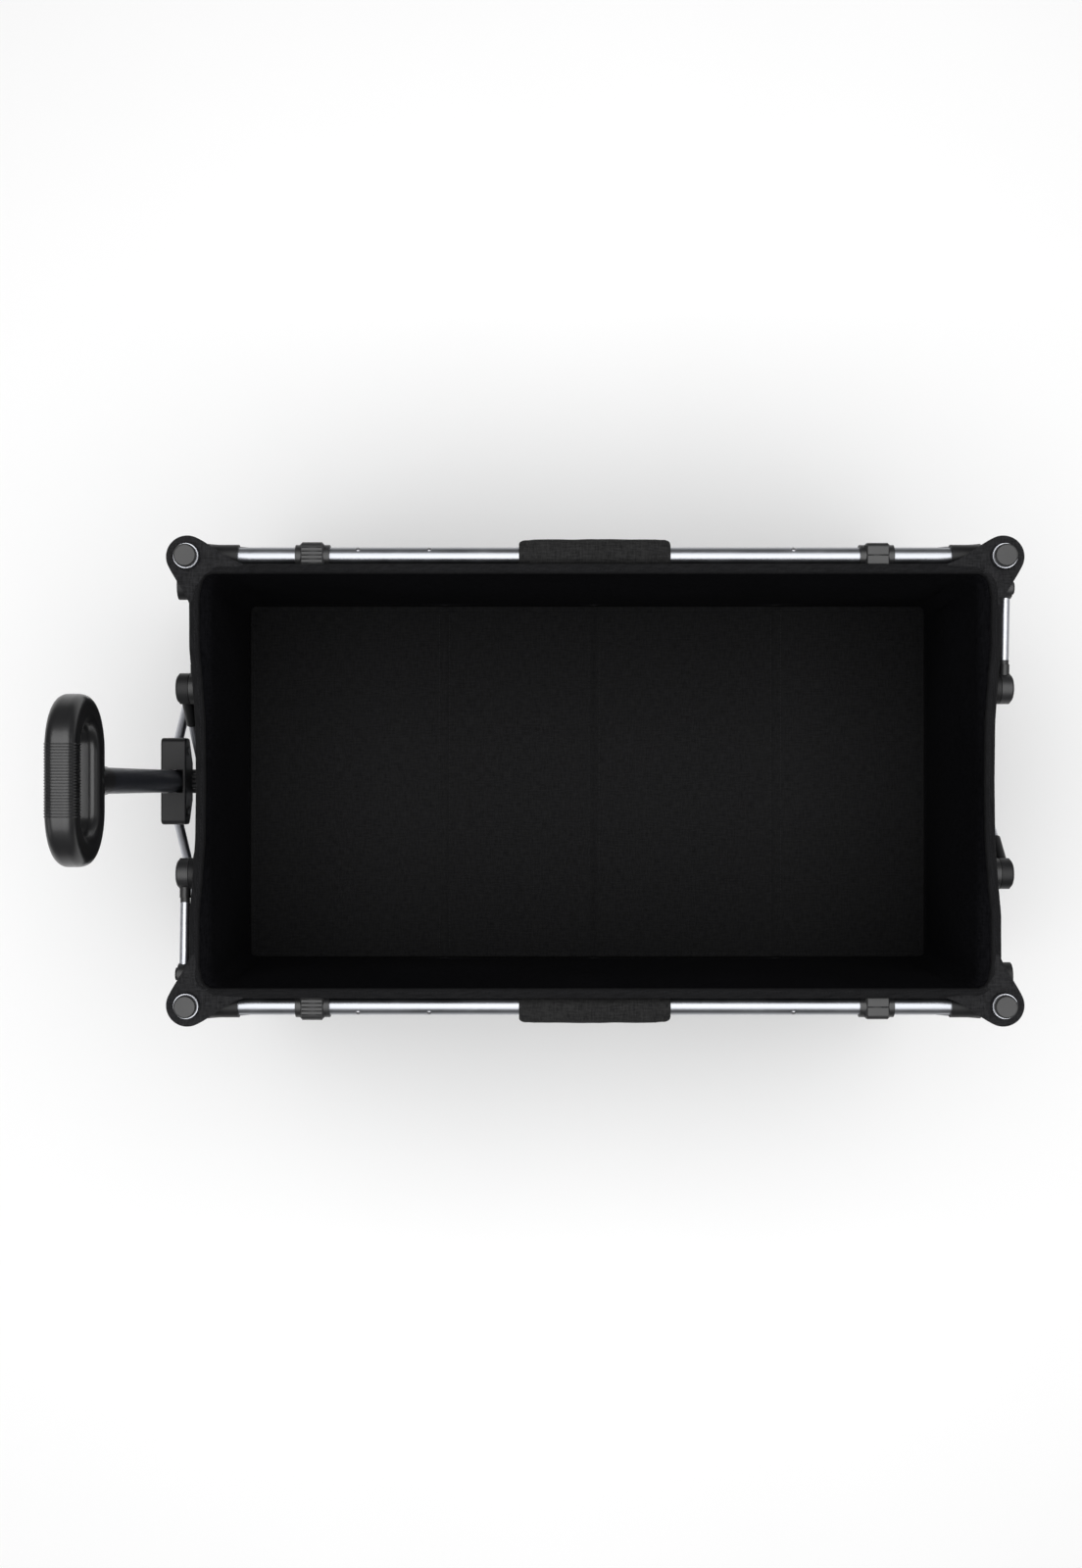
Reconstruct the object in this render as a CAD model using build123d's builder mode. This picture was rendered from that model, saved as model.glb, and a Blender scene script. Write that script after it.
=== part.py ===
"""Folding pull wagon: two rigid side frames joined by crossed bars at both ends, a hung fabric bag,
four wheels and a telescopic pull handle. Millimetres, +Z up, the handle end points to -X."""

import os
from math import atan2, cos, degrees, hypot, radians, sin

from build123d import *

os.makedirs("parts", exist_ok=True)

# Clearances
seat_clearance = 0.15
running_clearance = 0.05
soft_clearance = 0.4

# Corner posts
post_pitch_x = 831.0
post_pitch_y = 457.0
post_d = 25.4
post_wall = 1.5
post_rise = 29.0
cap_height = 5.0
cap_rim = 0.9
cap_bevel = 1.6
cap_plug_depth = 18.0

# Side rails, their joint blocks and the diagonal braces
rail_d = 19.0
rail_wall = 1.4
rail_outset = 3.0
top_rail_z = 522.0
bottom_rail_drop = 17.0
rail_block_x = 290.0
rail_block_length = 25.0
rail_block_size = 26.0
rail_block_round = 5.0
rail_block_bevel = 2.0
rail_ring_d = 24.0
rail_ring_length = 5.0
brace_d = 14.0
brace_wall = 1.3
brace_outset = 10.0
brace_top_drop = 34.0
brace_top_inset = 34.0
brace_foot_x = 52.0
brace_foot_rise = 32.0
brace_socket_d = 18.4
brace_socket_depth = 26.0
shoe_length = 70.0

# Brackets that hold the rails and hinges on the posts
collar_d = 34.0
socket_d = 24.4
socket_depth = 32.0
corner_collar_drop = 52.0
corner_collar_margin = 2.9
foot_collar_rise = 26.0
foot_collar_height = 59.0
hinge_inset = 30.0
lug_d = 24.0
lug_thickness = 10.0
hinge_pin_d = 8.0
pin_head_d = 13.0
pin_head_thickness = 2.6
pin_head_gap = 0.3

# Crossed end bars and the knee arms, in two layers across the end
bar_depth = 8.0
bar_height = 16.0
bar_wall = 1.5
inner_layer = -4.0
outer_layer = 7.0
layer_thickness = 10.4
eye_d = 22.0
bar_foot_rise = 17.0
knee_y = 95.5
knee_drop = 3.0
fold_angle = 27.0
knee_hub_d = 32.0
knee_sleeve_height = 21.0
knee_sleeve_length = 45.0
knee_tube_gap = 17.0
knee_cap_d = 29.0
knee_cap_rise = 2.6
knee_cap_round = 2.4
arm_d = 10.0
arm_sleeve_height = 15.0
arm_sleeve_length = 25.0

# Wheels, forks and axles
wheel_d = 150.0
tyre_width = 38.0
tyre_section = 22.0
tyre_round = 9.0
tread_groove = 2.0
rim_wall = 6.0
rim_inset = 2.0
rim_web = 10.0
rim_window_d = 20.0
rim_window_count = 6
hub_d = 28.0
hub_overhang = 1.0
hub_side_gap = 1.2
axle_d = 10.0
axle_head_d = 17.0
axle_head_thickness = 4.0
wheel_trail = 28.0
wheel_top_gap = 9.0
fork_leg = 6.0
fork_leg_width = 30.0
fork_crown_d = 44.0
fork_crown_height = 12.0
fork_crown_gap = 1.0
fork_stem_length = 40.0

# Pull handle: a shield-shaped block on the centre bolt, carried by two struts, with a tilting tube in its slot
boss_gap = 0.5
boss_length = 7.0
boss_d = 19.0
boss_lobe_d = 7.0
boss_lobe_count = 6
block_width = 93.0
block_depth = 27.0
block_height = 36.0
block_rise = 40.7
block_shoulder = 20.0
block_waist = 40.0
block_foot_d = 26.0
block_back = 3.1
block_corner = 6.0
block_edge = 2.0
block_bolt_depth = 8.0
tilt_pin_d = 6.0
tilt_pin_reach = 20.0
tilt_pin_drop = 20.0
slot_gap = 0.4
strut_d = 10.0
strut_eye_d = 16.0
strut_pin_y = 33.0
strut_pin_drop = 13.5
strut_pin_d = 6.0
strut_head_d = 10.0
strut_head_thickness = 1.2
strut_boss_d = 20.0
pocket_gap = 0.6
handle_d = 24.0
handle_wall = 1.4
handle_plug = 12.0
handle_rise = 311.5
slider_wall = 1.5
slider_foot_rise = 78.0
grip_width = 147.0
grip_height = 101.0
grip_bar = 26.5
grip_depth = 26.5
grip_round = 9.0
grip_end_r = 48.0
grip_hole_r = 22.5
grip_rise = 392.0
neck_d = 27.0
neck_rise = 312.5
neck_socket_rise = 335.5

# Bag, base mat and the fabric sleeves on the top rails
rim_drop = 6.0
bag_floor_rise = 22.0
bag_wall = 2.5
bag_corner = 25.0
bag_end_gap = 17.5
bag_side_gap = 4.5
bag_taper_x = -4.5
bag_taper_y = 5.0
hem_height = 9.0
hem_width = 10.0
hem_side_overlap = 8.0
hem_end_overlap = 8.0
ear_thickness = 4.0
ear_radius = 21.5
ear_reach = 58.0
ear_root = 5.0
mat_thickness = 6.0
mat_edge_gap = 2.0
mat_fold_x = (-170.0, 8.0, 224.0)
mat_fold_width = 3.0
mat_fold_depth = 3.0
sleeve_length = 157.0
sleeve_inner_wall = 1.8
sleeve_outer_wall = 9.2
sleeve_top_wall = 1.6
sleeve_bottom_wall = 7.7
sleeve_round = 10.0

# Derived sizes
post_bottom_z = wheel_d + wheel_top_gap + fork_crown_height + fork_crown_gap
post_top_z = top_rail_z + post_rise
foot_collar_bottom_z = post_bottom_z + foot_collar_rise
foot_collar_top_z = foot_collar_bottom_z + foot_collar_height
bottom_rail_z = foot_collar_top_z - bottom_rail_drop
brace_top_z = top_rail_z - brace_top_drop
brace_foot_z = bottom_rail_z + brace_foot_rise
rim_z = post_top_z - rim_drop
bag_bottom_z = bottom_rail_z + bag_floor_rise
post_bore = post_d - 2 * post_wall
sleeve_bore = rail_d + 2 * seat_clearance
slider_d = handle_d - 2 * handle_wall - 2 * running_clearance
layer_half = layer_thickness / 2
pivot_bore = hinge_pin_d + 2 * running_clearance
strut_bore = strut_pin_d + 2 * running_clearance
boss_in = outer_layer + layer_half + boss_gap
block_in = boss_in + boss_length
block_out = block_in + block_depth
handle_out = block_in + block_back + slot_gap + handle_d / 2
strut_out = block_in + block_depth / 2
front_reach = post_pitch_x / 2 + handle_out + grip_depth / 2
rear_reach = post_pitch_x / 2 - wheel_trail + wheel_d / 2
cart_x = (front_reach - rear_reach) / 2
post_y = post_pitch_y / 2
rail_y = post_y + rail_outset
brace_y = post_y + brace_outset
hinge_y = post_y - hinge_inset
wheel_z = wheel_d / 2
FRONT, REAR = -1, 1
LEFT, RIGHT = -1, 1
END_NAMES = {FRONT: "front", REAR: "rear"}
SIDE_NAMES = {LEFT: "left", RIGHT: "right"}

# Crossed-bar geometry: each bar runs from a foot hinge, through the centre bolt, to the opposite knee
bar_foot_z = foot_collar_bottom_z + bar_foot_rise
knee_z = top_rail_z - knee_drop
bar_rise = atan2(knee_z - bar_foot_z, hinge_y + knee_y)
lower_length = hinge_y / cos(bar_rise)
upper_length = knee_y / cos(bar_rise)
centre_z = bar_foot_z + lower_length * sin(bar_rise)
folded_rise = bar_rise + radians(fold_angle)
arm_span_open = hinge_y - knee_y
arm_span_folded = (lower_length - upper_length) * cos(folded_rise)
knee_lift = (lower_length + upper_length) * (sin(folded_rise) - sin(bar_rise))
arm_drop = (arm_span_folded**2 + knee_lift**2 - arm_span_open**2) / (2 * knee_lift)
arm_hinge_z = knee_z + arm_drop
arm_turn = atan2(knee_lift - arm_drop, arm_span_folded) + atan2(arm_drop, arm_span_open)
corner_collar_bottom_z = top_rail_z - corner_collar_drop
corner_collar_top_z = arm_hinge_z + lug_d / 2 + corner_collar_margin

# Handle heights, and the struts, which stay parallel to the lower halves of the front bars
block_top = centre_z + block_rise
tilt_z = block_top - tilt_pin_drop
handle_top_z = centre_z + handle_rise
slider_bottom_z = centre_z + slider_foot_rise
neck_bottom_z = centre_z + neck_rise
neck_socket_z = centre_z + neck_socket_rise
grip_centre_z = centre_z + grip_rise
strut_pin_z = block_top - strut_pin_drop
strut_foot_y = strut_pin_y + hinge_y
strut_foot_z = strut_pin_z - (centre_z - bar_foot_z)


def end_x(end, out=0.0):
    """X of a plane that lies `out` outside the posts of one end."""
    return cart_x + end * (post_pitch_x / 2 + out)


def facing_x(x, y, z, sense=1):
    """Plane square to X, with its own X axis along +Y or -Y and its Y axis up."""
    return Plane(origin=(x, y, z), x_dir=(0, sense, 0), z_dir=(sense, 0, 0))


def along(start, finish):
    """Plane at start that looks towards finish, and the distance between them."""
    step = Vector(*finish) - Vector(*start)
    return Plane(origin=start, z_dir=step), step.length


def save(piece, label):
    piece.label = label
    export_step(piece, f"parts/{label}.step")


def moving_layer(end, side):
    """Layer of the bar foot and of the arm that hinge at this corner, turned half round from end to end."""
    return outer_layer if side == end else inner_layer


def fixed_layer(end, side):
    """Layer of the bracket lug that carries those hinges."""
    return inner_layer if side == end else outer_layer


def add_tube(start, finish, outer_d, wall):
    plane, length = along(start, finish)
    with BuildSketch(plane) as ring:
        Circle(outer_d / 2)
        Circle(outer_d / 2 - wall, mode=Mode.SUBTRACT)
    extrude(ring.sketch, amount=length)


def add_rod(start, finish, d, mode=Mode.ADD):
    plane, length = along(start, finish)
    with BuildSketch(plane) as disc:
        Circle(d / 2)
    extrude(disc.sketch, amount=length, mode=mode)


def add_flat(start, finish, depth, height, mode=Mode.ADD):
    """Flat-oval bar across an end, with its broad faces square to X."""
    step = Vector(*finish) - Vector(*start)
    with BuildSketch(Plane(origin=start, x_dir=(1, 0, 0), z_dir=step)) as oval:
        SlotOverall(height, depth, rotation=90)
    extrude(oval.sketch, amount=step.length, mode=mode)


def add_knee_cap(end, layer, knee):
    """Low dome on the outer face of a knee."""
    face = layer + layer_half
    with BuildPart(mode=Mode.PRIVATE) as cap:
        add_rod((end_x(end, face), *knee), (end_x(end, face + knee_cap_rise), *knee), knee_cap_d)
        fillet(cap.edges().sort_by(Axis.X)[-1 if end == REAR else 0], knee_cap_round)
    add(cap.part)


def add_hinge_lug(end, side, z):
    """Lug beside the post with its hinge pin, which reaches through the moving layer."""
    lug_out = fixed_layer(end, side)
    pin_sense = 1 if moving_layer(end, side) > lug_out else -1
    pin_end = moving_layer(end, side) + pin_sense * (layer_half + pin_head_gap)
    with BuildSketch(facing_x(end_x(end, lug_out), side * (hinge_y + hinge_inset / 2), z)) as lug:
        SlotCenterToCenter(hinge_inset, lug_d)
    extrude(lug.sketch, amount=lug_thickness / 2, both=True)
    hinge = (side * hinge_y, z)
    add_rod((end_x(end, lug_out), *hinge), (end_x(end, pin_end), *hinge), hinge_pin_d)
    head_end = pin_end + pin_sense * pin_head_thickness
    add_rod((end_x(end, pin_end), *hinge), (end_x(end, head_end), *hinge), pin_head_d)


def add_strut_foot(side):
    """Boss in front of the post with the pin on which a handle strut turns."""
    foot = (side * strut_foot_y, strut_foot_z)
    boss_end = strut_out - strut_d / 2 - pocket_gap
    pin_end = strut_out + strut_d / 2 + pin_head_gap
    add_rod((end_x(FRONT), *foot), (end_x(FRONT, boss_end), *foot), strut_boss_d)
    add_rod((end_x(FRONT, boss_end), *foot), (end_x(FRONT, pin_end), *foot), hinge_pin_d)
    add_rod((end_x(FRONT, pin_end), *foot), (end_x(FRONT, pin_end + pin_head_thickness), *foot), pin_head_d)


def add_rail_block(x, y, z, length):
    with BuildPart(mode=Mode.PRIVATE) as block:
        with BuildSketch(facing_x(x, y, z)) as outline:
            RectangleRounded(rail_block_size, rail_block_size, rail_block_round)
        extrude(outline.sketch, amount=length / 2, both=True)
        rims = block.edges().group_by(Axis.X)
        chamfer(rims[0] + rims[-1], rail_block_bevel)
    add(block.part)


def brace_ends(end, side):
    top = (end_x(end, -brace_top_inset), side * brace_y, brace_top_z)
    foot = (cart_x + end * brace_foot_x, side * brace_y, brace_foot_z)
    return top, foot


def build_side_frame(side):
    name = SIDE_NAMES[side]
    rail_start = post_pitch_x / 2 - collar_d / 2 - seat_clearance

    for end in (FRONT, REAR):
        with BuildPart() as post:
            add_tube((end_x(end), side * post_y, post_bottom_z), (end_x(end), side * post_y, post_top_z),
                     post_d, post_wall)
        save(post.part, f"{name}_{END_NAMES[end]}_post")

    with BuildPart() as caps:
        for end in (FRONT, REAR):
            with BuildSketch(Plane.XY.offset(post_top_z)):
                with Locations((end_x(end), side * post_y)):
                    Circle(post_d / 2 - cap_rim)
            extrude(amount=cap_height)
            with BuildSketch(Plane.XY.offset(post_top_z)):
                with Locations((end_x(end), side * post_y)):
                    Circle(post_bore / 2 - seat_clearance)
            extrude(amount=-cap_plug_depth)
        chamfer(caps.edges().group_by(Axis.Z)[-1], cap_bevel)
    save(caps.part, f"{name}_post_caps")

    with BuildPart() as corners:
        for end in (FRONT, REAR):
            base = (end_x(end), side * post_y)
            rail_end = (cart_x + end * rail_start, side * rail_y, top_rail_z)
            mouth = (cart_x + end * (rail_start - socket_depth), side * rail_y, top_rail_z)
            brace_top, brace_foot = brace_ends(end, side)
            brace_dir = (Vector(*brace_foot) - Vector(*brace_top)).normalized()
            brace_mouth = Vector(*brace_top) + brace_dir * brace_socket_depth
            brace_root = Vector(*brace_top) - brace_dir * brace_socket_depth
            add_rod((*base, corner_collar_bottom_z), (*base, corner_collar_top_z), collar_d)
            add_rod((end_x(end), side * rail_y, top_rail_z), mouth, socket_d)
            add_rod(tuple(brace_root), tuple(brace_mouth), brace_socket_d)
            add_hinge_lug(end, side, arm_hinge_z)
            add_rod((*base, post_bottom_z), (*base, post_top_z), post_d + 2 * seat_clearance, Mode.SUBTRACT)
            add_rod(rail_end, mouth, rail_d + 2 * seat_clearance, Mode.SUBTRACT)
            add_rod(brace_top, tuple(brace_mouth), brace_d + 2 * seat_clearance, Mode.SUBTRACT)
    save(corners.part, f"{name}_corner_brackets")

    with BuildPart() as feet:
        for end in (FRONT, REAR):
            base = (end_x(end), side * post_y)
            rail_end = (cart_x + end * rail_start, side * rail_y, bottom_rail_z)
            mouth = (cart_x + end * (rail_start - socket_depth), side * rail_y, bottom_rail_z)
            add_rod((*base, foot_collar_bottom_z), (*base, foot_collar_top_z), collar_d)
            add_rod((end_x(end), side * rail_y, bottom_rail_z), mouth, socket_d)
            add_hinge_lug(end, side, bar_foot_z)
            if end == FRONT:
                add_strut_foot(side)
            add_rod((*base, post_bottom_z), (*base, post_top_z), post_d + 2 * seat_clearance, Mode.SUBTRACT)
            add_rod(rail_end, mouth, rail_d + 2 * seat_clearance, Mode.SUBTRACT)
    save(feet.part, f"{name}_foot_brackets")

    for rail_z, label in ((top_rail_z, "top_rail"), (bottom_rail_z, "bottom_rail")):
        reach = rail_start - seat_clearance
        with BuildPart() as rail:
            add_tube((cart_x - reach, side * rail_y, rail_z), (cart_x + reach, side * rail_y, rail_z),
                     rail_d, rail_wall)
        save(rail.part, f"{name}_{label}")

    with BuildPart() as fittings:
        for end in (FRONT, REAR):
            block_x = cart_x + end * rail_block_x
            ring_reach = rail_block_length / 2 + rail_ring_length
            add_rail_block(block_x, side * rail_y, top_rail_z, rail_block_length)
            add_rod((block_x - ring_reach, side * rail_y, top_rail_z),
                    (block_x + ring_reach, side * rail_y, top_rail_z), rail_ring_d)
            brace_top, brace_foot = brace_ends(end, side)
            back = (Vector(*brace_top) - Vector(*brace_foot)).normalized() * brace_socket_depth
            add_rod(brace_foot, tuple(Vector(*brace_foot) + back), brace_socket_d)
            add_rod(tuple(Vector(*brace_foot) - back), brace_foot, brace_socket_d)
        add_rail_block(cart_x, side * rail_y, bottom_rail_z, shoe_length)
        for end in (FRONT, REAR):
            brace_top, brace_foot = brace_ends(end, side)
            add_rod(brace_foot, brace_top, brace_d + 2 * seat_clearance, Mode.SUBTRACT)
        for rail_z in (top_rail_z, bottom_rail_z):
            add_rod((cart_x - rail_start, side * rail_y, rail_z), (cart_x + rail_start, side * rail_y, rail_z),
                    rail_d + 2 * seat_clearance, Mode.SUBTRACT)
    save(fittings.part, f"{name}_rail_fittings")

    with BuildPart() as braces:
        for end in (FRONT, REAR):
            brace_top, brace_foot = brace_ends(end, side)
            slack = (Vector(*brace_foot) - Vector(*brace_top)).normalized() * seat_clearance
            add_tube(tuple(Vector(*brace_top) + slack), tuple(Vector(*brace_foot) - slack), brace_d, brace_wall)
    save(braces.part, f"{name}_braces")

    with BuildPart() as sleeve:
        sleeve_y = rail_y + (sleeve_outer_wall - sleeve_inner_wall) / 2
        sleeve_z = top_rail_z + (sleeve_top_wall - sleeve_bottom_wall) / 2
        with BuildSketch(facing_x(cart_x, side * sleeve_y, sleeve_z)):
            RectangleRounded(sleeve_bore + sleeve_inner_wall + sleeve_outer_wall,
                             sleeve_bore + sleeve_top_wall + sleeve_bottom_wall, sleeve_round)
        extrude(amount=sleeve_length / 2, both=True)
        add_rod((cart_x - sleeve_length, side * rail_y, top_rail_z),
                (cart_x + sleeve_length, side * rail_y, top_rail_z), sleeve_bore, Mode.SUBTRACT)
    save(sleeve.part, f"{name}_grip_sleeve")


def bar_point(side, distance):
    """Point (y, z) on the bar whose foot is on this side, at a distance from its foot hinge."""
    return -side * (distance * cos(bar_rise) - hinge_y), bar_foot_z + distance * sin(bar_rise)


def build_crossed_bar(end, side):
    """Bar with its foot on this side and its knee hub on the other."""
    name = f"{END_NAMES[end]}_{SIDE_NAMES[side]}"
    layer = moving_layer(end, side)
    x = end_x(end, layer)
    reach = lower_length + upper_length
    foot = bar_point(side, 0)
    knee = bar_point(side, reach)
    tube_foot = bar_point(side, eye_d / 2)
    tube_top = bar_point(side, reach - knee_tube_gap)
    socket_top = bar_point(side, reach - knee_tube_gap + seat_clearance)
    sleeve_foot = bar_point(side, reach - knee_sleeve_length)

    with BuildPart() as bar:
        add_flat((x, *foot), (x, *tube_top), bar_depth, bar_height)
        add_flat((x, *tube_foot), (x, *tube_top), bar_depth - 2 * bar_wall, bar_height - 2 * bar_wall,
                 Mode.SUBTRACT)
        add_rod((x - layer_half, *foot), (x + layer_half, *foot), eye_d)
        for y, z in (foot, (0, centre_z)):
            add_rod((x - bar_height, y, z), (x + bar_height, y, z), pivot_bore, Mode.SUBTRACT)
    save(bar.part, f"{name}_bar")

    with BuildPart() as hub:
        add_flat((x, *sleeve_foot), (x, *knee), layer_thickness, knee_sleeve_height)
        add_rod((x - layer_half, *knee), (x + layer_half, *knee), knee_hub_d)
        if layer == outer_layer:
            add_knee_cap(end, layer, knee)
        add_flat((x, *sleeve_foot), (x, *socket_top), bar_depth + 2 * seat_clearance,
                 bar_height + 2 * seat_clearance, Mode.SUBTRACT)
    save(hub.part, f"{name}_knee_hub")


def build_knee_arm(end, side):
    layer = moving_layer(end, side)
    x = end_x(end, layer)
    hinge = (side * hinge_y, arm_hinge_z)
    knee = (side * knee_y, knee_z)
    share = arm_sleeve_length / hypot(arm_span_open, arm_drop)
    sleeve_end = (side * (knee_y + share * arm_span_open), knee_z + share * arm_drop)
    with BuildPart() as arm:
        add_rod((x, *hinge), (x, *knee), arm_d)
        add_flat((x, *knee), (x, *sleeve_end), layer_thickness, arm_sleeve_height)
        add_rod((x - layer_half, *hinge), (x + layer_half, *hinge), eye_d)
        add_rod((x - layer_half, *knee), (x + layer_half, *knee), knee_hub_d)
        if layer == outer_layer:
            add_knee_cap(end, layer, knee)
        add_rod((x - eye_d, *hinge), (x + eye_d, *hinge), pivot_bore, Mode.SUBTRACT)
    save(arm.part, f"{END_NAMES[end]}_{SIDE_NAMES[side]}_arm")


def build_centre_bolt(end, reach):
    """Bolt through both crossed bars, with a low head on the bag side."""
    head = inner_layer - layer_half - pin_head_gap
    with BuildPart() as bolt:
        add_rod((end_x(end, head), 0, centre_z), (end_x(end, reach), 0, centre_z), hinge_pin_d)
        add_rod((end_x(end, head), 0, centre_z), (end_x(end, head - pin_head_thickness), 0, centre_z),
                pin_head_d)
        if end == REAR:
            add_rod((end_x(end, reach), 0, centre_z), (end_x(end, reach + pin_head_thickness), 0, centre_z),
                    pin_head_d)
    save(bolt.part, f"{END_NAMES[end]}_centre_bolt")


def build_wheel(end, side):
    name = f"{SIDE_NAMES[side]}_{END_NAMES[end]}"
    hub_x = end_x(end, -wheel_trail)
    axis = Axis((hub_x, side * post_y, wheel_z), (0, 1, 0))
    rim_r = wheel_d / 2 - tyre_section
    section = Plane(origin=(hub_x, side * post_y, wheel_z), x_dir=(1, 0, 0), z_dir=(0, 0, 1))
    hub_width = tyre_width + 2 * hub_overhang
    web_inner = hub_d / 4
    web_outer = rim_r - rim_wall / 2

    with BuildPart() as tyre:
        with BuildSketch(section) as tread:
            with Locations((rim_r + tyre_section / 2, 0)):
                Rectangle(tyre_section, tyre_width)
            fillet(tread.vertices().group_by(Axis.X)[-1], tyre_round)
            for offset in (-tyre_width / 6, tyre_width / 6):
                with Locations((wheel_d / 2, offset)):
                    Rectangle(2 * tread_groove, tread_groove, mode=Mode.SUBTRACT)
        revolve(axis=axis)
    save(tyre.part, f"{name}_tyre")

    with BuildPart() as rim:
        with BuildSketch(section):
            with Locations((rim_r - seat_clearance - rim_wall / 2, 0)):
                Rectangle(rim_wall, tyre_width - 2 * rim_inset)
            with Locations(((web_inner + web_outer) / 2, 0)):
                Rectangle(web_outer - web_inner, rim_web)
            with Locations((hub_d / 4, 0)):
                Rectangle(hub_d / 2, hub_width)
            with Locations((0, 0)):
                Rectangle(axle_d + 2 * running_clearance, 2 * hub_width, mode=Mode.SUBTRACT)
        revolve(axis=axis)
        window_r = (hub_d / 2 + rim_r - rim_wall) / 2
        with BuildSketch(Plane(origin=(hub_x, side * post_y, wheel_z), x_dir=(1, 0, 0), z_dir=(0, 1, 0))):
            with PolarLocations(window_r, rim_window_count):
                Circle(rim_window_d / 2)
        extrude(amount=rim_web, both=True, mode=Mode.SUBTRACT)
    save(rim.part, f"{name}_rim")

    leg_inner = hub_width / 2 + hub_side_gap
    leg_outer = leg_inner + fork_leg
    crown_top = post_bottom_z - fork_crown_gap
    crown_bottom = crown_top - fork_crown_height
    with BuildPart() as fork:
        for leg in (-1, 1):
            with BuildSketch(Plane(origin=(0, side * post_y + leg * leg_inner, 0), x_dir=(1, 0, 0),
                                   z_dir=(0, leg, 0))) as leg_sketch:
                flip = -leg
                with Locations((hub_x, flip * wheel_z)):
                    Circle(fork_leg_width / 2)
                with Locations((end_x(end), flip * (crown_top - fork_crown_height / 2))):
                    Rectangle(fork_crown_d, fork_crown_height)
                make_hull()
            extrude(amount=fork_leg)
        with BuildSketch(Plane.XY.offset(crown_bottom)):
            with Locations((end_x(end), side * post_y)):
                RectangleRounded(fork_crown_d, 2 * leg_outer, fork_leg)
        extrude(amount=fork_crown_height)
        add_rod((end_x(end), side * post_y, crown_top),
                (end_x(end), side * post_y, crown_top + fork_stem_length), post_bore - 2 * running_clearance)
        bore_reach = 2 * leg_outer
        add_rod((hub_x, side * post_y - bore_reach, wheel_z), (hub_x, side * post_y + bore_reach, wheel_z),
                axle_d + 2 * seat_clearance, Mode.SUBTRACT)
    save(fork.part, f"{name}_fork")

    with BuildPart() as axle:
        reach = leg_outer + seat_clearance
        add_rod((hub_x, side * post_y - reach, wheel_z), (hub_x, side * post_y + reach, wheel_z), axle_d)
        for sense in (-1, 1):
            add_rod((hub_x, side * post_y + sense * reach, wheel_z),
                    (hub_x, side * post_y + sense * (reach + axle_head_thickness), wheel_z), axle_head_d)
    save(axle.part, f"{name}_axle")


def build_strut(side):
    """Bar from the handle block down to the foot bracket, with the pin that shows on both block faces."""
    x = end_x(FRONT, strut_out)
    half = strut_d / 2
    top = (side * strut_pin_y, strut_pin_z)
    foot = (side * strut_foot_y, strut_foot_z)
    with BuildPart() as strut:
        add_rod((x, *foot), (x, *top), strut_d)
        for eye in (foot, top):
            add_rod((x - half, *eye), (x + half, *eye), strut_eye_d)
        add_rod((x - block_depth, *foot), (x + block_depth, *foot), pivot_bore, Mode.SUBTRACT)
        for face, sense in ((block_in - seat_clearance, -1), (block_out + seat_clearance, 1)):
            add_rod((x, *top), (end_x(FRONT, face), *top), strut_pin_d)
            add_rod((end_x(FRONT, face), *top), (end_x(FRONT, face + sense * strut_head_thickness), *top),
                    strut_head_d)
    save(strut.part, f"{SIDE_NAMES[side]}_handle_strut")


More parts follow.
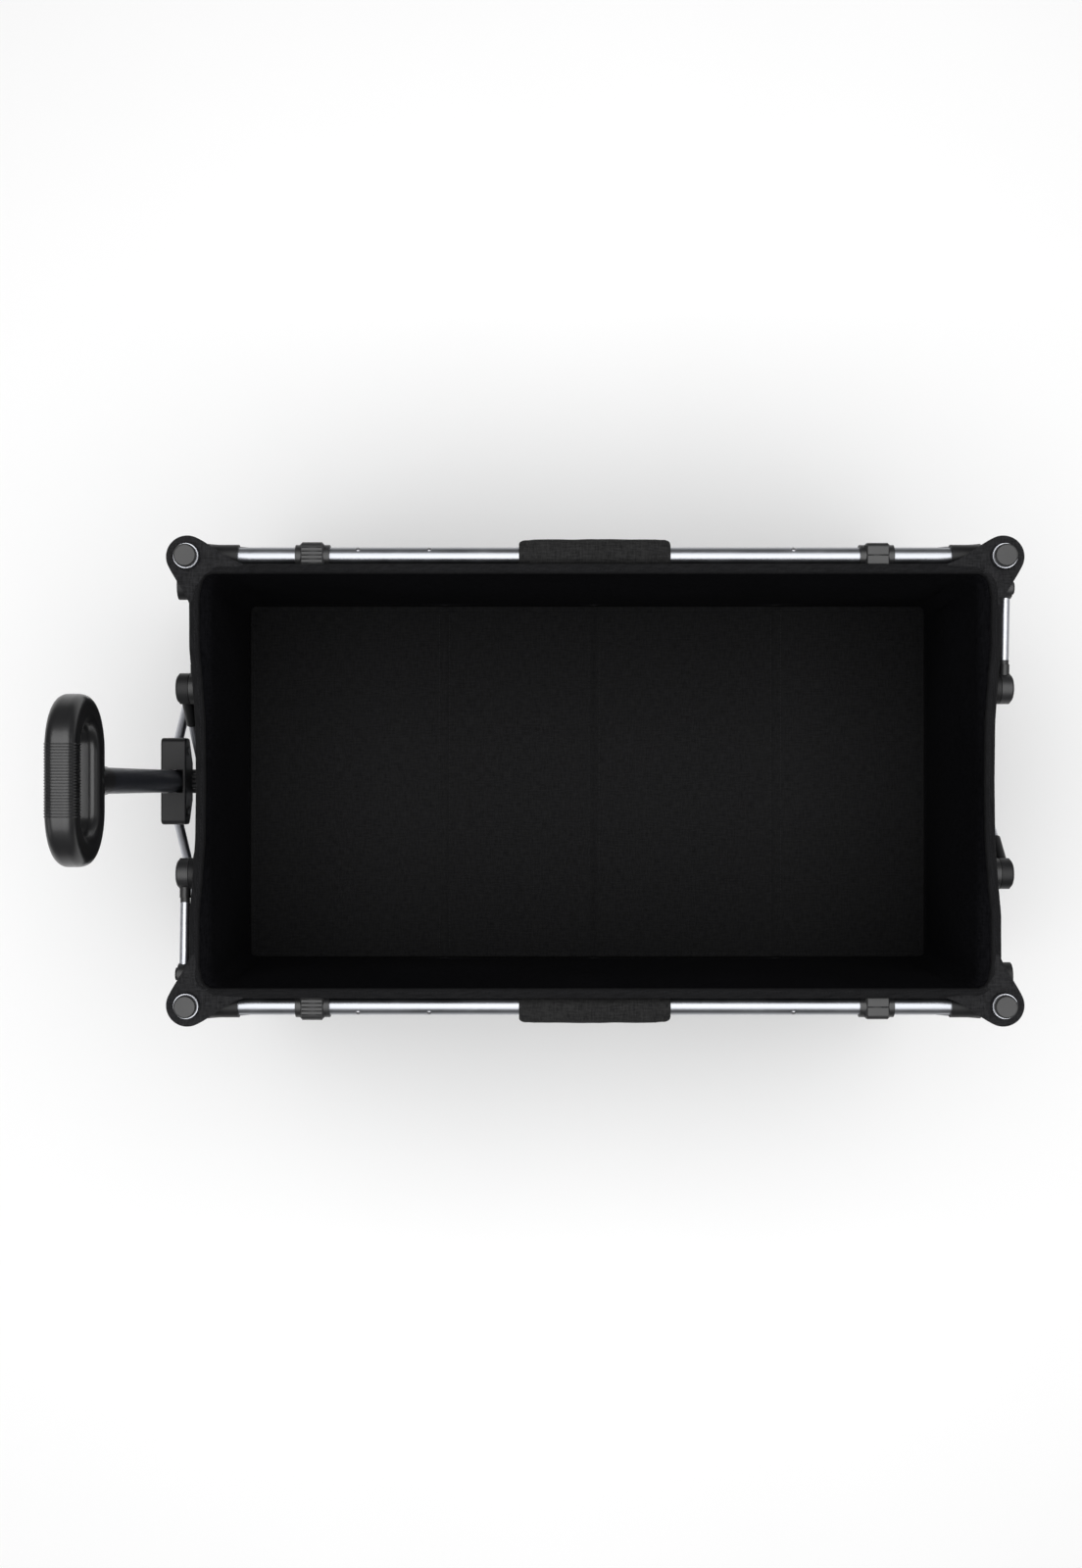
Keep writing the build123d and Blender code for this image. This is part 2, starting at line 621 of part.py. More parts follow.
def build_handle():
    axis_x = end_x(FRONT, handle_out)
    slot_r = handle_d / 2 + slot_gap
    centre = (0, centre_z)

    with BuildPart() as boss:
        with BuildSketch(facing_x(end_x(FRONT, boss_in), *centre)):
            Circle(boss_d / 2)
            with PolarLocations(boss_d / 2, boss_lobe_count):
                Circle(boss_lobe_d / 2)
            Circle(hinge_pin_d / 2 + seat_clearance, mode=Mode.SUBTRACT)
        extrude(amount=-(boss_length - seat_clearance))
    save(boss.part, "handle_hitch")

    with BuildPart() as block:
        with BuildSketch(facing_x(end_x(FRONT, block_in), 0, block_top)) as shield:
            with BuildLine():
                Polyline((-block_width / 2, 0), (block_width / 2, 0), (block_width / 2, -block_shoulder),
                         (block_waist / 2, -block_height), (-block_waist / 2, -block_height),
                         (-block_width / 2, -block_shoulder), close=True)
            make_face()
            fillet(shield.vertices(), block_corner)
            with Locations((0, -block_rise)):
                Circle(block_foot_d / 2)
        extrude(amount=-block_depth)
        fillet(block.edges().filter_by(Axis.Y).group_by(Axis.Z)[-1], block_edge)
        add_rod((axis_x, -slot_r, tilt_z), (axis_x, slot_r, tilt_z), 2 * slot_r, Mode.SUBTRACT)
        with BuildSketch(Plane.XY.offset(tilt_z)):
            with Locations((axis_x + slot_r - block_depth / 2, 0)):
                Rectangle(block_depth, 2 * slot_r)
        extrude(amount=2 * tilt_pin_drop, mode=Mode.SUBTRACT)
        with BuildSketch(Plane.XY.offset(tilt_z - slot_r)):
            with Locations((axis_x - block_depth / 2, 0)):
                Rectangle(block_depth, 2 * slot_r)
        extrude(amount=2 * slot_r, mode=Mode.SUBTRACT)
        for side in (LEFT, RIGHT):
            with BuildSketch(facing_x(end_x(FRONT, strut_out - strut_d / 2 - slot_gap), 0, 0)) as pocket:
                with Locations((side * strut_pin_y, strut_pin_z)):
                    Circle(strut_eye_d / 2 + pocket_gap)
                for rise in (bar_rise, folded_rise):
                    with Locations((side * (strut_pin_y + block_width * cos(rise)),
                                    strut_pin_z - block_width * sin(rise))):
                        Circle(strut_d / 2 + pocket_gap)
                make_hull()
            extrude(amount=-(strut_d + 2 * slot_gap), mode=Mode.SUBTRACT)
            pin = (side * strut_pin_y, strut_pin_z)
            add_rod((end_x(FRONT), *pin), (end_x(FRONT, 2 * block_out), *pin), strut_bore, Mode.SUBTRACT)
        tilt_bore = tilt_pin_reach + seat_clearance
        add_rod((axis_x, -tilt_bore, tilt_z), (axis_x, tilt_bore, tilt_z), tilt_pin_d + 2 * seat_clearance,
                Mode.SUBTRACT)
        add_rod((end_x(FRONT), *centre), (end_x(FRONT, block_in + block_bolt_depth), *centre),
                hinge_pin_d + 2 * seat_clearance, Mode.SUBTRACT)
    save(block.part, "handle_block")

    with BuildPart() as pin:
        add_rod((axis_x, -tilt_pin_reach, tilt_z), (axis_x, tilt_pin_reach, tilt_z), tilt_pin_d)
    save(pin.part, "handle_tilt_pin")

    with BuildPart() as stem:
        add_tube((axis_x, 0, tilt_z), (axis_x, 0, handle_top_z), handle_d, handle_wall)
        add_rod((axis_x, 0, tilt_z), (axis_x, 0, tilt_z + handle_plug), handle_d)
        with Locations((axis_x, 0, tilt_z)):
            Sphere(handle_d / 2)
        add_rod((axis_x, -handle_d, tilt_z), (axis_x, handle_d, tilt_z), tilt_pin_d + 2 * running_clearance,
                Mode.SUBTRACT)
    save(stem.part, "handle_tube")

    with BuildPart() as slider:
        slider_top_z = neck_socket_z - seat_clearance
        add_tube((axis_x, 0, slider_bottom_z), (axis_x, 0, slider_top_z), slider_d, slider_wall)
    save(slider.part, "handle_slider")

    with BuildPart() as grip:
        with BuildSketch(facing_x(axis_x, 0, grip_centre_z)):
            RectangleRounded(grip_width, grip_height, grip_end_r)
            RectangleRounded(grip_width - 2 * grip_bar, grip_height - 2 * grip_bar, grip_hole_r,
                             mode=Mode.SUBTRACT)
        extrude(amount=grip_depth / 2, both=True)
        fillet(grip.edges().filter_by(Axis.X, reverse=True), grip_round)
        ring_bottom = grip_centre_z - grip_height / 2
        add_rod((axis_x, 0, neck_bottom_z), (axis_x, 0, ring_bottom + grip_bar / 2), neck_d)
        add_rod((axis_x, 0, neck_bottom_z), (axis_x, 0, neck_socket_z), slider_d + 2 * seat_clearance,
                Mode.SUBTRACT)
    save(grip.part, "handle_grip")


def build_bag():
    top_x = post_pitch_x / 2 - bag_end_gap
    top_y = rail_y - rail_d / 2 - bag_side_gap
    bottom_x = top_x - bag_taper_x
    bottom_y = top_y - bag_taper_y
    hem_x = top_x + hem_end_overlap
    hem_y = top_y + hem_side_overlap
    open_x = hem_x - hem_width
    open_y = hem_y - hem_width
    floor_z = bag_bottom_z + bag_wall

    with BuildPart() as bag:
        with BuildSketch(Plane.XY.offset(bag_bottom_z)):
            with Locations((cart_x, 0)):
                RectangleRounded(2 * bottom_x, 2 * bottom_y, bag_corner)
        with BuildSketch(Plane.XY.offset(rim_z)):
            with Locations((cart_x, 0)):
                RectangleRounded(2 * top_x, 2 * top_y, bag_corner)
        loft()
        with BuildSketch(Plane.XY.offset(rim_z - hem_height)):
            with Locations((cart_x, 0)):
                RectangleRounded(2 * hem_x, 2 * hem_y, bag_corner)
        extrude(amount=hem_height)
        for end in (FRONT, REAR):
            for side in (LEFT, RIGHT):
                with BuildSketch(Plane.XY.offset(rim_z - ear_thickness)):
                    with Locations((end_x(end), side * post_y)):
                        Circle(ear_radius)
                    with Locations((end_x(end, -ear_reach), side * (hem_y - ear_root)),
                                   (cart_x + end * (hem_x - ear_root), side * (post_y - ear_reach))):
                        Circle(ear_root)
                    make_hull()
                extrude(amount=ear_thickness)
        with BuildSketch(Plane.XY.offset(floor_z)):
            with Locations((cart_x, 0)):
                RectangleRounded(2 * (bottom_x - bag_wall), 2 * (bottom_y - bag_wall), bag_corner - bag_wall)
        with BuildSketch(Plane.XY.offset(rim_z - hem_height)):
            with Locations((cart_x, 0)):
                RectangleRounded(2 * open_x, 2 * open_y, bag_corner - bag_wall)
        loft(mode=Mode.SUBTRACT)
        with BuildSketch(Plane.XY.offset(rim_z - hem_height)):
            with Locations((cart_x, 0)):
                RectangleRounded(2 * open_x, 2 * open_y, bag_corner - bag_wall)
        extrude(amount=2 * hem_height, mode=Mode.SUBTRACT)
        for end in (FRONT, REAR):
            for side in (LEFT, RIGHT):
                add_rod((end_x(end), side * post_y, bag_bottom_z), (end_x(end), side * post_y, post_top_z),
                        post_d + 2 * soft_clearance, Mode.SUBTRACT)
    save(bag.part, "bag")

    mat_x = bottom_x - bag_wall - mat_edge_gap
    mat_y = bottom_y - bag_wall - mat_edge_gap
    mat_z = floor_z + soft_clearance
    with BuildPart() as mat:
        with BuildSketch(Plane.XY.offset(mat_z)):
            with Locations((cart_x, 0)):
                RectangleRounded(2 * mat_x, 2 * mat_y, bag_corner - bag_wall - mat_edge_gap)
        extrude(amount=mat_thickness)
        with BuildSketch(Plane.XY.offset(mat_z + mat_thickness)):
            with Locations(*[(cart_x + x, 0) for x in mat_fold_x]):
                Rectangle(mat_fold_width, 2 * mat_y)
        extrude(amount=-mat_fold_depth, mode=Mode.SUBTRACT)
    save(mat.part, "base_mat")


for side in (LEFT, RIGHT):
    build_side_frame(side)
    for end in (FRONT, REAR):
        build_wheel(end, side)
        build_crossed_bar(end, side)
        build_knee_arm(end, side)

build_centre_bolt(FRONT, block_in + block_bolt_depth - seat_clearance)
build_centre_bolt(REAR, outer_layer + layer_half + pin_head_gap)
for side in (LEFT, RIGHT):
    build_strut(side)
build_handle()
build_bag()

print(f"cart centre x {cart_x:.3f}, hinge y {hinge_y:.3f}, centre bolt z {centre_z:.3f}")
print(f"arm hinge z {arm_hinge_z:.3f}, arm length {hypot(arm_span_open, arm_drop):.3f}")
print(f"fold {fold_angle:.1f} degrees turns the arms {degrees(arm_turn):.4f} degrees")
print(f"folded post half pitch {lower_length * cos(folded_rise) + hinge_inset:.2f}")
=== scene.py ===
"""Looks of the folding pull wagon, seen from straight above. Metres, +Z up, the handle end points to -X."""

from math import cos, hypot, pi, radians, sin

import bmesh
import bpy
import numpy as np
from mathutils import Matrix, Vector, noise


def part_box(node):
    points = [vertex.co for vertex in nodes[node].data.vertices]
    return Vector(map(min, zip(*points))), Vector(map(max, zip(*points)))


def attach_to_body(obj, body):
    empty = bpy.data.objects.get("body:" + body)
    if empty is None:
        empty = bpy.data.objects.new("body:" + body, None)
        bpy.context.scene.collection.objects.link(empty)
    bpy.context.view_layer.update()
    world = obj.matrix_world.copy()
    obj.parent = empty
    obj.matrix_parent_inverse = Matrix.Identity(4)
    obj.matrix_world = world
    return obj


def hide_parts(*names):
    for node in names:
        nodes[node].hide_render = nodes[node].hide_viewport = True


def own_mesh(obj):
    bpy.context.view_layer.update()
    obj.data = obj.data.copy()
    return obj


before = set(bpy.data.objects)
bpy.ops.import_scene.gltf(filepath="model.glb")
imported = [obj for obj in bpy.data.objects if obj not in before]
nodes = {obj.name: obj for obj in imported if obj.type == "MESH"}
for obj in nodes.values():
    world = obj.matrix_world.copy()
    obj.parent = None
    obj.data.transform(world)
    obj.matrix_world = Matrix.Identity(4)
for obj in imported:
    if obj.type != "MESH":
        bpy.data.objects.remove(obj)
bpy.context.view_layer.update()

SIDES = {"left": -1, "right": 1}
ENDS = {"front": -1, "rear": 1}

# Places and sizes read from the frame
bag_low, bag_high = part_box("bag")
mat_low, mat_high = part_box("base_mat")
post_low, post_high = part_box("left_front_post")
rail_low, rail_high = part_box("left_top_rail")
sleeve_low, sleeve_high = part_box("right_grip_sleeve")
grip_low, grip_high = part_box("handle_grip")
fitting_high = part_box("right_rail_fittings")[1]
cart_x = (bag_low.x + bag_high.x) / 2
rim_z = bag_high.z
post_x = cart_x - (post_low.x + post_high.x) / 2
post_y = -(post_low.y + post_high.y) / 2
post_r = (post_high.x - post_low.x) / 2
rail_y = -(rail_low.y + rail_high.y) / 2
rail_z = (rail_low.z + rail_high.z) / 2
rail_r = (rail_high.z - rail_low.z) / 2
grip_x = (grip_low.x + grip_high.x) / 2
grip_bar = grip_high.x - grip_low.x

# Cloth of the bag, as it hangs in the frame
loop_points = 360
corner_points = 13
bag_corner = 0.020
wall_top_half_x, wall_top_half_y = 0.3960, 0.2155
wall_top_z = rim_z - 0.003
wall_rows = 30
wall_row_spread = 1.4
flare_share = 0.07
flare_curve = 1.5
floor_half_x, floor_half_y = 0.4048, 0.2128
floor_z = bag_low.z + 0.0012
floor_rings = 12
floor_outer_share, floor_inner_share = 0.92, 0.002
bend_r = 0.004
bend_rows = 6
bend_corner_share = 0.8
sway_depth, sway_scale = 0.0042, (6.0, 6.0, 1.4)
pucker_depth, pucker_scale, pucker_start = 0.0016, (26.0, 26.0, 3.0), (7.0, 0.0, 0.0)
cloth_thickness = 0.0016
bag_stitch = {"Pitch": 0.0040, "Length": 0.0014, "Thread": 0.0003}

# Bound rim. The bow is its shift outwards at distances from the middle line
hem_half_x, hem_half_y = 0.4105, 0.2215
hem_bow = ((0.0, -0.0035), (0.060, -0.0028), (0.105, 0.0004), (0.135, 0.0032), (0.188, 0.0034), (0.206, 0.0))
hem_bow_reach, hem_bow_blend = 0.060, 0.030
hem_width = 0.010
hem_height = 0.009
hem_turns = 16
hem_roundness = 0.55
hem_puff, hem_puff_scale, hem_puff_level = 0.0004, 30, 0.3
hem_girth = 0.034
hem_wall_inset = hem_width * 0.6
hem_seam_inset = hem_width * 0.62
hem_seam_points = 240
seam_sink = 0.0003

# Corner ears, drawn about their posts
ear_radius = 0.0215
ear_reach = 0.058
ear_first, ear_last = radians(-66), radians(-206)
ear_ease = 0.012
ear_side_ease, ear_end_ease = np.array((0.016, 0.0071)), np.array((0.0078, 0.016))
ear_lap = 0.004
ear_inner_near, ear_inner_far = 0.008, 0.022
ear_run_points = 16
ear_tip_points = 24
ear_turns = 96
ear_rings = 7
ear_hole_r = post_r + 0.0004
ear_thickness = 0.0032
ear_droop, ear_droop_start = 0.0016, 0.55
ear_edge_r = 0.0009
ear_seam_inset = 0.0035

# Base mat: places of its folds, then depth and width of each mark in its top
mat_half_x, mat_half_y = floor_half_x - 0.0018, floor_half_y - 0.0018
mat_columns, mat_rows = 260, 130
mat_corner = 0.008
mat_folds = (-0.170, 0.008, 0.224)
mat_fold_depth, mat_fold_width = 0.0022, 0.0030
mat_crown_depth, mat_crown_width = 0.0007, 0.05
mat_seam_inset = 0.007
mat_seam_depth, mat_seam_width = 0.0005, 0.0020
mat_edge_depth, mat_edge_width = 0.0050, 0.0020
mat_wave_depth, mat_wave_scale, mat_wave_level = 0.0005, 9, 4.0
mat_seam_corner = 0.006
mat_seam_points = 240
mat_border_sink, mat_fold_sink = 0.0010, 0.0013
mat_fold_seam = 0.006
mat_fold_seam_end = 0.014
mat_fold_seam_points = 40

# Padded sleeves on the top rails
sleeve_turns = 56
sleeve_rows = 48
sleeve_roundness = 0.62
sleeve_puff = 0.0012
sleeve_rail_gap = 0.0007
sleeve_end_gap = 0.0006
sleeve_row_gather = 0.06
sleeve_mouth_share, sleeve_mouth_width = 0.62, 0.007
sleeve_tuck_depth, sleeve_tuck_place, sleeve_tuck_width = 0.0006, 0.010, 0.0022
sleeve_held_end = 0.0005
sleeve_lip_share, sleeve_lip_depth, sleeve_lip_cloth = 0.25, 0.001, 0.006
sleeve_lining_end, sleeve_lining_rows = 0.012, 10
sleeve_frames = 20
sleeve_joint = int(sleeve_turns * 0.87)
sleeve_swell = 0.0028
sleeve_rumple = 0.0005
sleeve_rumple_scale = (55, 70, 70)
sleeve_soft_start, sleeve_soft_run = 0.0012, 0.004
sleeve_box_gap = 0.0002
sleeve_seam_row = 5
sleeve_seam_lift = 0.0002
sleeve_stitch = {"Pitch": 0.0034, "Length": 0.0012, "Thread": 0.00028}

# Small repeated pieces
rivet_places = (-0.2432, -0.1701, 0.2043, 0.2774)
rivet_lean_y, rivet_lean_z = 0.72, 0.70
rivet_sink = 0.0001
rivet_size = {"Radius": 0.0031, "Rise": 0.0013}
block_places = {-0.290: (-0.008, -0.004, 0.0, 0.004, 0.008), 0.290: (0.0,)}
block_half = fitting_high.z - rail_z
ridge_size = {"Length": 0.0205, "Width": 0.0012, "Height": 0.0012}
rib_reach = 0.0300
rib_frame = grip_bar - 0.0002
rib_size = {"Pitch": 0.0025, "Width": rib_frame, "Height": rib_frame, "Corner": 0.009, "Bead": 0.0006}
lug_count = 44
lug_stagger = 0.25
lug_sink = 0.0016
lug_row_y = 0.0135
lug_size = {"Length": 0.0062, "Width": 0.0075, "Height": 0.0026}

# Grain of the finishes, in repeats per metre
blotch_scale = 9.0
fleck_scale = 900.0
warp_scale, weft_scale = (90.0, 620.0, 1.0), (620.0, 90.0, 1.0)
draw_line_scale = (6.0, 1500.0, 1500.0)
mark_scale = 22.0
drift_scale = 14.0
scuff_scale = (60.0, 60.0, 220.0)
knuckle_grain = 2400.0
paper_scale = 3.0

# Studio
floor_half = 6
view_x, view_y, view_z = cart_x - 0.0552, -0.003, 2.165
view_sensor, view_lens = 36.0, 36.56
world_strength = 0.13


class Wire:
    """A socket in a finish, so that shader maths reads as arithmetic."""

    def __init__(self, finish, socket):
        self.finish = finish
        self.socket = socket

    def maths(self, operation, first, second=None):
        sockets = {0: first} if second is None else {0: first, 1: second}
        return self.finish.add("ShaderNodeMath", {"operation": operation}, sockets)

    def __add__(self, other):
        return self.maths("ADD", self, other)

    __radd__ = __add__

    def __sub__(self, other):
        return self.maths("SUBTRACT", self, other)

    def __rsub__(self, other):
        return self.maths("SUBTRACT", other, self)

    def __mul__(self, other):
        return self.maths("MULTIPLY", self, other)

    __rmul__ = __mul__

    def __gt__(self, other):
        return self.maths("GREATER_THAN", self, other)

    def __lt__(self, other):
        return self.maths("LESS_THAN", self, other)

    def __mod__(self, other):
        return self.maths("FLOORED_MODULO", self, other)

    def floor(self):
        return self.maths("FLOOR", self)

    def sin(self):
        return self.maths("SINE", self)

    def abs(self):
        return self.maths("ABSOLUTE", self)

    def most(self, other):
        return self.maths("MAXIMUM", self, other)


class Finish:
    """One procedural material: a principled shader and the nodes that feed it."""

    def __init__(self, name):
        self.material = bpy.data.materials.new(name)
        self.material.use_nodes = True
        self.tree = self.material.node_tree
        self.tree.nodes.clear()
        self.shader = self.tree.nodes.new("ShaderNodeBsdfPrincipled")
        target = self.tree.nodes.new("ShaderNodeOutputMaterial")
        self.tree.links.new(self.shader.outputs[0], target.inputs[0])

    def feed(self, socket, value):
        if isinstance(value, Wire):
            self.tree.links.new(value.socket, socket)
        elif isinstance(value, (int, float)) or len(value) == len(socket.default_value):
            socket.default_value = value
        else:
            socket.default_value = (*value, 1.0)

    def add(self, kind, settings=None, sockets=None, out=0):
        made = self.tree.nodes.new(kind)
        for key, value in (settings or {}).items():
            setattr(made, key, value)
        for key, value in (sockets or {}).items():
            self.feed(made.inputs[key], value)
        return Wire(self, made.outputs[out])

    def place(self):
        return self.add("ShaderNodeTexCoord", out="Object")

    def cloth_place(self):
        return self.add("ShaderNodeTexCoord", out="UV")

    def parts(self, vector):
        split = self.add("ShaderNodeSeparateXYZ", None, {0: vector})
        return tuple(Wire(self, output) for output in split.socket.node.outputs)

    def mapped(self, vector, scale, turn=(0.0, 0.0, 0.0)):
        return self.add("ShaderNodeMapping", None, {"Vector": vector, "Scale": scale, "Rotation": turn})

    def speckle(self, vector, scale, detail=3.0, roughness=0.55):
        return self.add("ShaderNodeTexNoise", None,
                        {"Vector": vector, "Scale": scale, "Detail": detail, "Roughness": roughness})

    def ranged(self, value, low, high, to_low, to_high):
        return self.add("ShaderNodeMapRange", None, {0: value, 1: low, 2: high, 3: to_low, 4: to_high})

    def mixed(self, factor, first, second):
        return self.add("ShaderNodeMix", {"data_type": "RGBA"}, {0: factor, 6: first, 7: second}, out=2)

    def bump(self, height, strength, distance):
        return self.add("ShaderNodeBump", None,
                        {"Height": height, "Strength": strength, "Distance": distance})

    def wear(self, **sockets):
        for key, value in sockets.items():
            self.feed(self.shader.inputs[key.replace("_", " ")], value)
        return self.material


def weave(u, v, pitch):
    """Height of a plain weave: threads pass over and under in a chequer."""
    across = u * (1 / pitch)
    along = v * (1 / pitch)
    over = ((across.floor() + along.floor()) % 2.0) > 0.5
    warp = (across * pi).sin().abs()
    weft = (along * pi).sin().abs()
    return over * warp + (1 - over) * weft


def woven_finish(name, dark, light, pitch, roughness, depth, gleam=0.08, sheen=0.015):
    """Coated cloth: thread relief, thick and thin yarns, uneven dye, painted shade in the gaps between
    threads and a soft sheen.
    """
    finish = Finish(name)
    uv = finish.cloth_place()
    u, v, _ = finish.parts(uv)
    thread = weave(u, v, pitch)
    blotch = finish.speckle(finish.place(), blotch_scale)
    fleck = finish.speckle(finish.place(), fleck_scale, 2.0)
    warp_yarn = finish.speckle(finish.mapped(uv, warp_scale), 1.0, 3.0, 0.6)
    weft_yarn = finish.speckle(finish.mapped(uv, weft_scale), 1.0, 3.0, 0.6)
    yarn = warp_yarn + weft_yarn
    # The thread height darkens the gaps between threads as painted shade; the yarn and blotch terms are
    # uneven dye.
    tone = finish.ranged(thread * 0.2 + yarn * 0.8 + blotch * 0.25, 0.75, 1.25, 0.0, 1.0)
    return finish.wear(
        Base_Color=finish.mixed(tone, dark, light),
        Roughness=finish.ranged(blotch + thread * 0.2, 0.3, 0.9, roughness - 0.08, roughness + 0.08),
        Specular_IOR_Level=gleam,
        Sheen_Weight=sheen,
        Sheen_Roughness=0.45,
        Normal=finish.bump(thread + fleck * 0.25 + yarn * 0.5, 0.55, depth),
    )


def drawn_tube_finish(name, colour, shade, roughness, turn, metallic=1.0, knuckles=()):
    """Satin metal with fine draw lines along one direction and faint handling marks.
    Knuckles are black moulded ends, given as distance from the middle plane, height and radius."""
    finish = Finish(name)
    place = finish.place()
    lines = finish.speckle(finish.mapped(place, draw_line_scale, turn), 1.0, 2.0)
    marks = finish.speckle(place, mark_scale, 4.0, 0.65)
    tone = finish.ranged(lines * 0.6 + marks * 0.6, 0.35, 0.85, 0.0, 1.0)
    skin = finish.mixed(tone, shade, colour)
    rough = finish.ranged(lines * 0.5 + marks * 0.7, 0.3, 0.9, roughness - 0.09, roughness + 0.11)
    shine = metallic
    if knuckles:
        _, across, up = finish.parts(place)
        moulded = across * 0.0
        for far, height, radius in knuckles:
            beside = across.abs() - far
            above = up - height
            moulded = moulded.most((beside * beside + above * above) < radius * radius)
        grain = finish.speckle(place, knuckle_grain, 2.0)
        skin = finish.mixed(moulded, skin, finish.mixed(grain, *black_tones))
        shine = (1 - moulded) * metallic
        rough = rough * (1 - moulded) + moulded * 0.42
    return finish.wear(
        Base_Color=skin,
        Metallic=shine,
        Roughness=rough,
        Normal=finish.bump(lines, 0.06, 0.0002),
    )


def moulded_finish(name, colour, light, roughness, grain, depth, coat=0.0, gleam=0.25):
    """Moulded plastic: fine grain, slow colour drift and slightly polished patches."""
    finish = Finish(name)
    place = finish.place()
    fine = finish.speckle(place, grain, 2.0, 0.5)
    drift = finish.speckle(place, drift_scale, 4.0, 0.6)
    streak = finish.speckle(finish.mapped(place, scuff_scale), 1.0, 5.0, 0.7)
    scuff = finish.ranged(streak, 0.62, 0.80, 0.0, 1.0)
    tone = finish.ranged(fine * 0.35 + drift * 0.65, 0.3, 0.75, 0.0, 0.7) + scuff * 0.25
    return finish.wear(
        Base_Color=finish.mixed(tone, colour, light),
        Roughness=finish.ranged(drift, 0.3, 0.7, roughness - 0.06, roughness + 0.08) + scuff * 0.06,
        Specular_IOR_Level=gleam,
        Coat_Weight=coat,
        Coat_Roughness=0.16,
        Normal=finish.bump(fine, 0.22, depth),
    )


bag_cloth = woven_finish("bag_cloth", (0.0012, 0.0012, 0.0016), (0.0076, 0.0076, 0.0090),
                         0.0013, 0.78, 0.0004, gleam=0.02, sheen=0.003)
rim_cloth = woven_finish("rim_binding", (0.0024, 0.0024, 0.0028), (0.0125, 0.0125, 0.0135),
                         0.0012, 0.74, 0.0003)
ear_cloth = woven_finish("ear_cloth", (0.0040, 0.0040, 0.0044), (0.0240, 0.0240, 0.0255),
                         0.0012, 0.70, 0.0004)
mat_cloth = woven_finish("mat_cover", (0.0022, 0.0022, 0.0024), (0.0095, 0.0095, 0.0100),
                         0.0014, 0.76, 0.0003)
sewing_thread = woven_finish("sewing_thread", (0.010, 0.010, 0.011), (0.024, 0.024, 0.026),
                             0.0004, 0.55, 0.0001)
sleeve_cloth = woven_finish("sleeve_cover", (0.0045, 0.0045, 0.0048), (0.0260, 0.0258, 0.0260),
                            0.0014, 0.74, 0.0005)

ALONG_X, ALONG_Y, ALONG_Z = (0.0, 0.0, 0.0), (0.0, 0.0, pi / 2), (0.0, pi / 2, 0.0)
bright_tones = (0.56, 0.57, 0.61), (0.40, 0.41, 0.44)
black_tones = (0.006, 0.006, 0.0065), (0.018, 0.018, 0.019)
arm_knuckles = (0.0955, 0.519, 0.0300), (0.1985, 0.5257, 0.0113)
strut_knuckles = ((0.033, 0.4475, 0.0056),)
rail_metal = drawn_tube_finish("rail_aluminium", (0.42, 0.43, 0.46), (0.30, 0.31, 0.33), 0.34, ALONG_X)
post_metal = drawn_tube_finish("post_aluminium", *bright_tones, 0.36, ALONG_Z)
arm_metal = drawn_tube_finish("arm_aluminium", *bright_tones, 0.36, ALONG_Y, knuckles=arm_knuckles)
strut_metal = drawn_tube_finish("strut_aluminium", *bright_tones, 0.36, ALONG_Y, knuckles=strut_knuckles)
# Painted shade: the handle tube and slider get a near-black colour because the upright tube looks dark from
# above; their paint is the grey of the other tubes.
handle_shaded_metal = drawn_tube_finish("handle_painted_shade", (0.050, 0.055, 0.068), (0.028, 0.031, 0.040),
                                 0.40, ALONG_Z, metallic=0.6)
zinc_steel = drawn_tube_finish("zinc_steel", (0.50, 0.50, 0.52), (0.30, 0.30, 0.32), 0.30, ALONG_Y)

black_plastic = moulded_finish("black_plastic", *black_tones, 0.46, 2600.0, 0.0002)
cap_plastic = moulded_finish("cap_plastic", (0.008, 0.008, 0.0085), (0.024, 0.024, 0.025),
                             0.40, 2600.0, 0.0002, gleam=0.55)
hitch_coat = moulded_finish("hitch_powder_coat", (0.007, 0.007, 0.008), (0.022, 0.022, 0.024),
                            0.38, 1500.0, 0.0003)
fork_plastic = moulded_finish("fork_plastic", (0.010, 0.010, 0.011), (0.030, 0.030, 0.032),
                              0.45, 2200.0, 0.0003)
rim_plastic = moulded_finish("rim_plastic", (0.020, 0.020, 0.022), (0.050, 0.050, 0.054),
                             0.45, 2200.0, 0.0003)
grip_plastic = moulded_finish("grip_plastic", (0.005, 0.005, 0.0055), (0.014, 0.014, 0.015),
                              0.31, 3200.0, 0.00008, coat=0.18, gleam=0.45)
tyre_rubber = moulded_finish("tyre_rubber", (0.008, 0.008, 0.008), (0.030, 0.029, 0.028),
                             0.72, 1400.0, 0.0005)


def dress(finish, *names):
    """Gives CAD pieces their finish."""
    for name in names:
        slots = nodes[name].data.materials
        slots.clear()
        slots.append(finish)


for side in SIDES:
    dress(rail_metal, f"{side}_top_rail", f"{side}_bottom_rail", f"{side}_braces")
    dress(cap_plastic, f"{side}_post_caps", f"{side}_rail_fittings")
    dress(black_plastic, f"{side}_corner_brackets", f"{side}_foot_brackets")
    dress(strut_metal, f"{side}_handle_strut")
    for end in ENDS:
        dress(post_metal, f"{side}_{end}_post", f"{end}_{side}_bar")
        dress(arm_metal, f"{end}_{side}_arm")
        dress(black_plastic, f"{end}_{side}_knee_hub")
        dress(tyre_rubber, f"{side}_{end}_tyre")
        dress(rim_plastic, f"{side}_{end}_rim")
        dress(fork_plastic, f"{side}_{end}_fork")
        dress(zinc_steel, f"{side}_{end}_axle")
dress(zinc_steel, "rear_centre_bolt", "handle_tilt_pin")
dress(hitch_coat, "handle_hitch", "front_centre_bolt")
dress(black_plastic, "handle_block")
dress(handle_shaded_metal, "handle_tube", "handle_slider")
dress(grip_plastic, "handle_grip")


def show(name, data):
    """Puts a mesh, light or camera in the scene."""
    made = bpy.data.objects.new(name, data)
    bpy.context.scene.collection.objects.link(made)
    return made


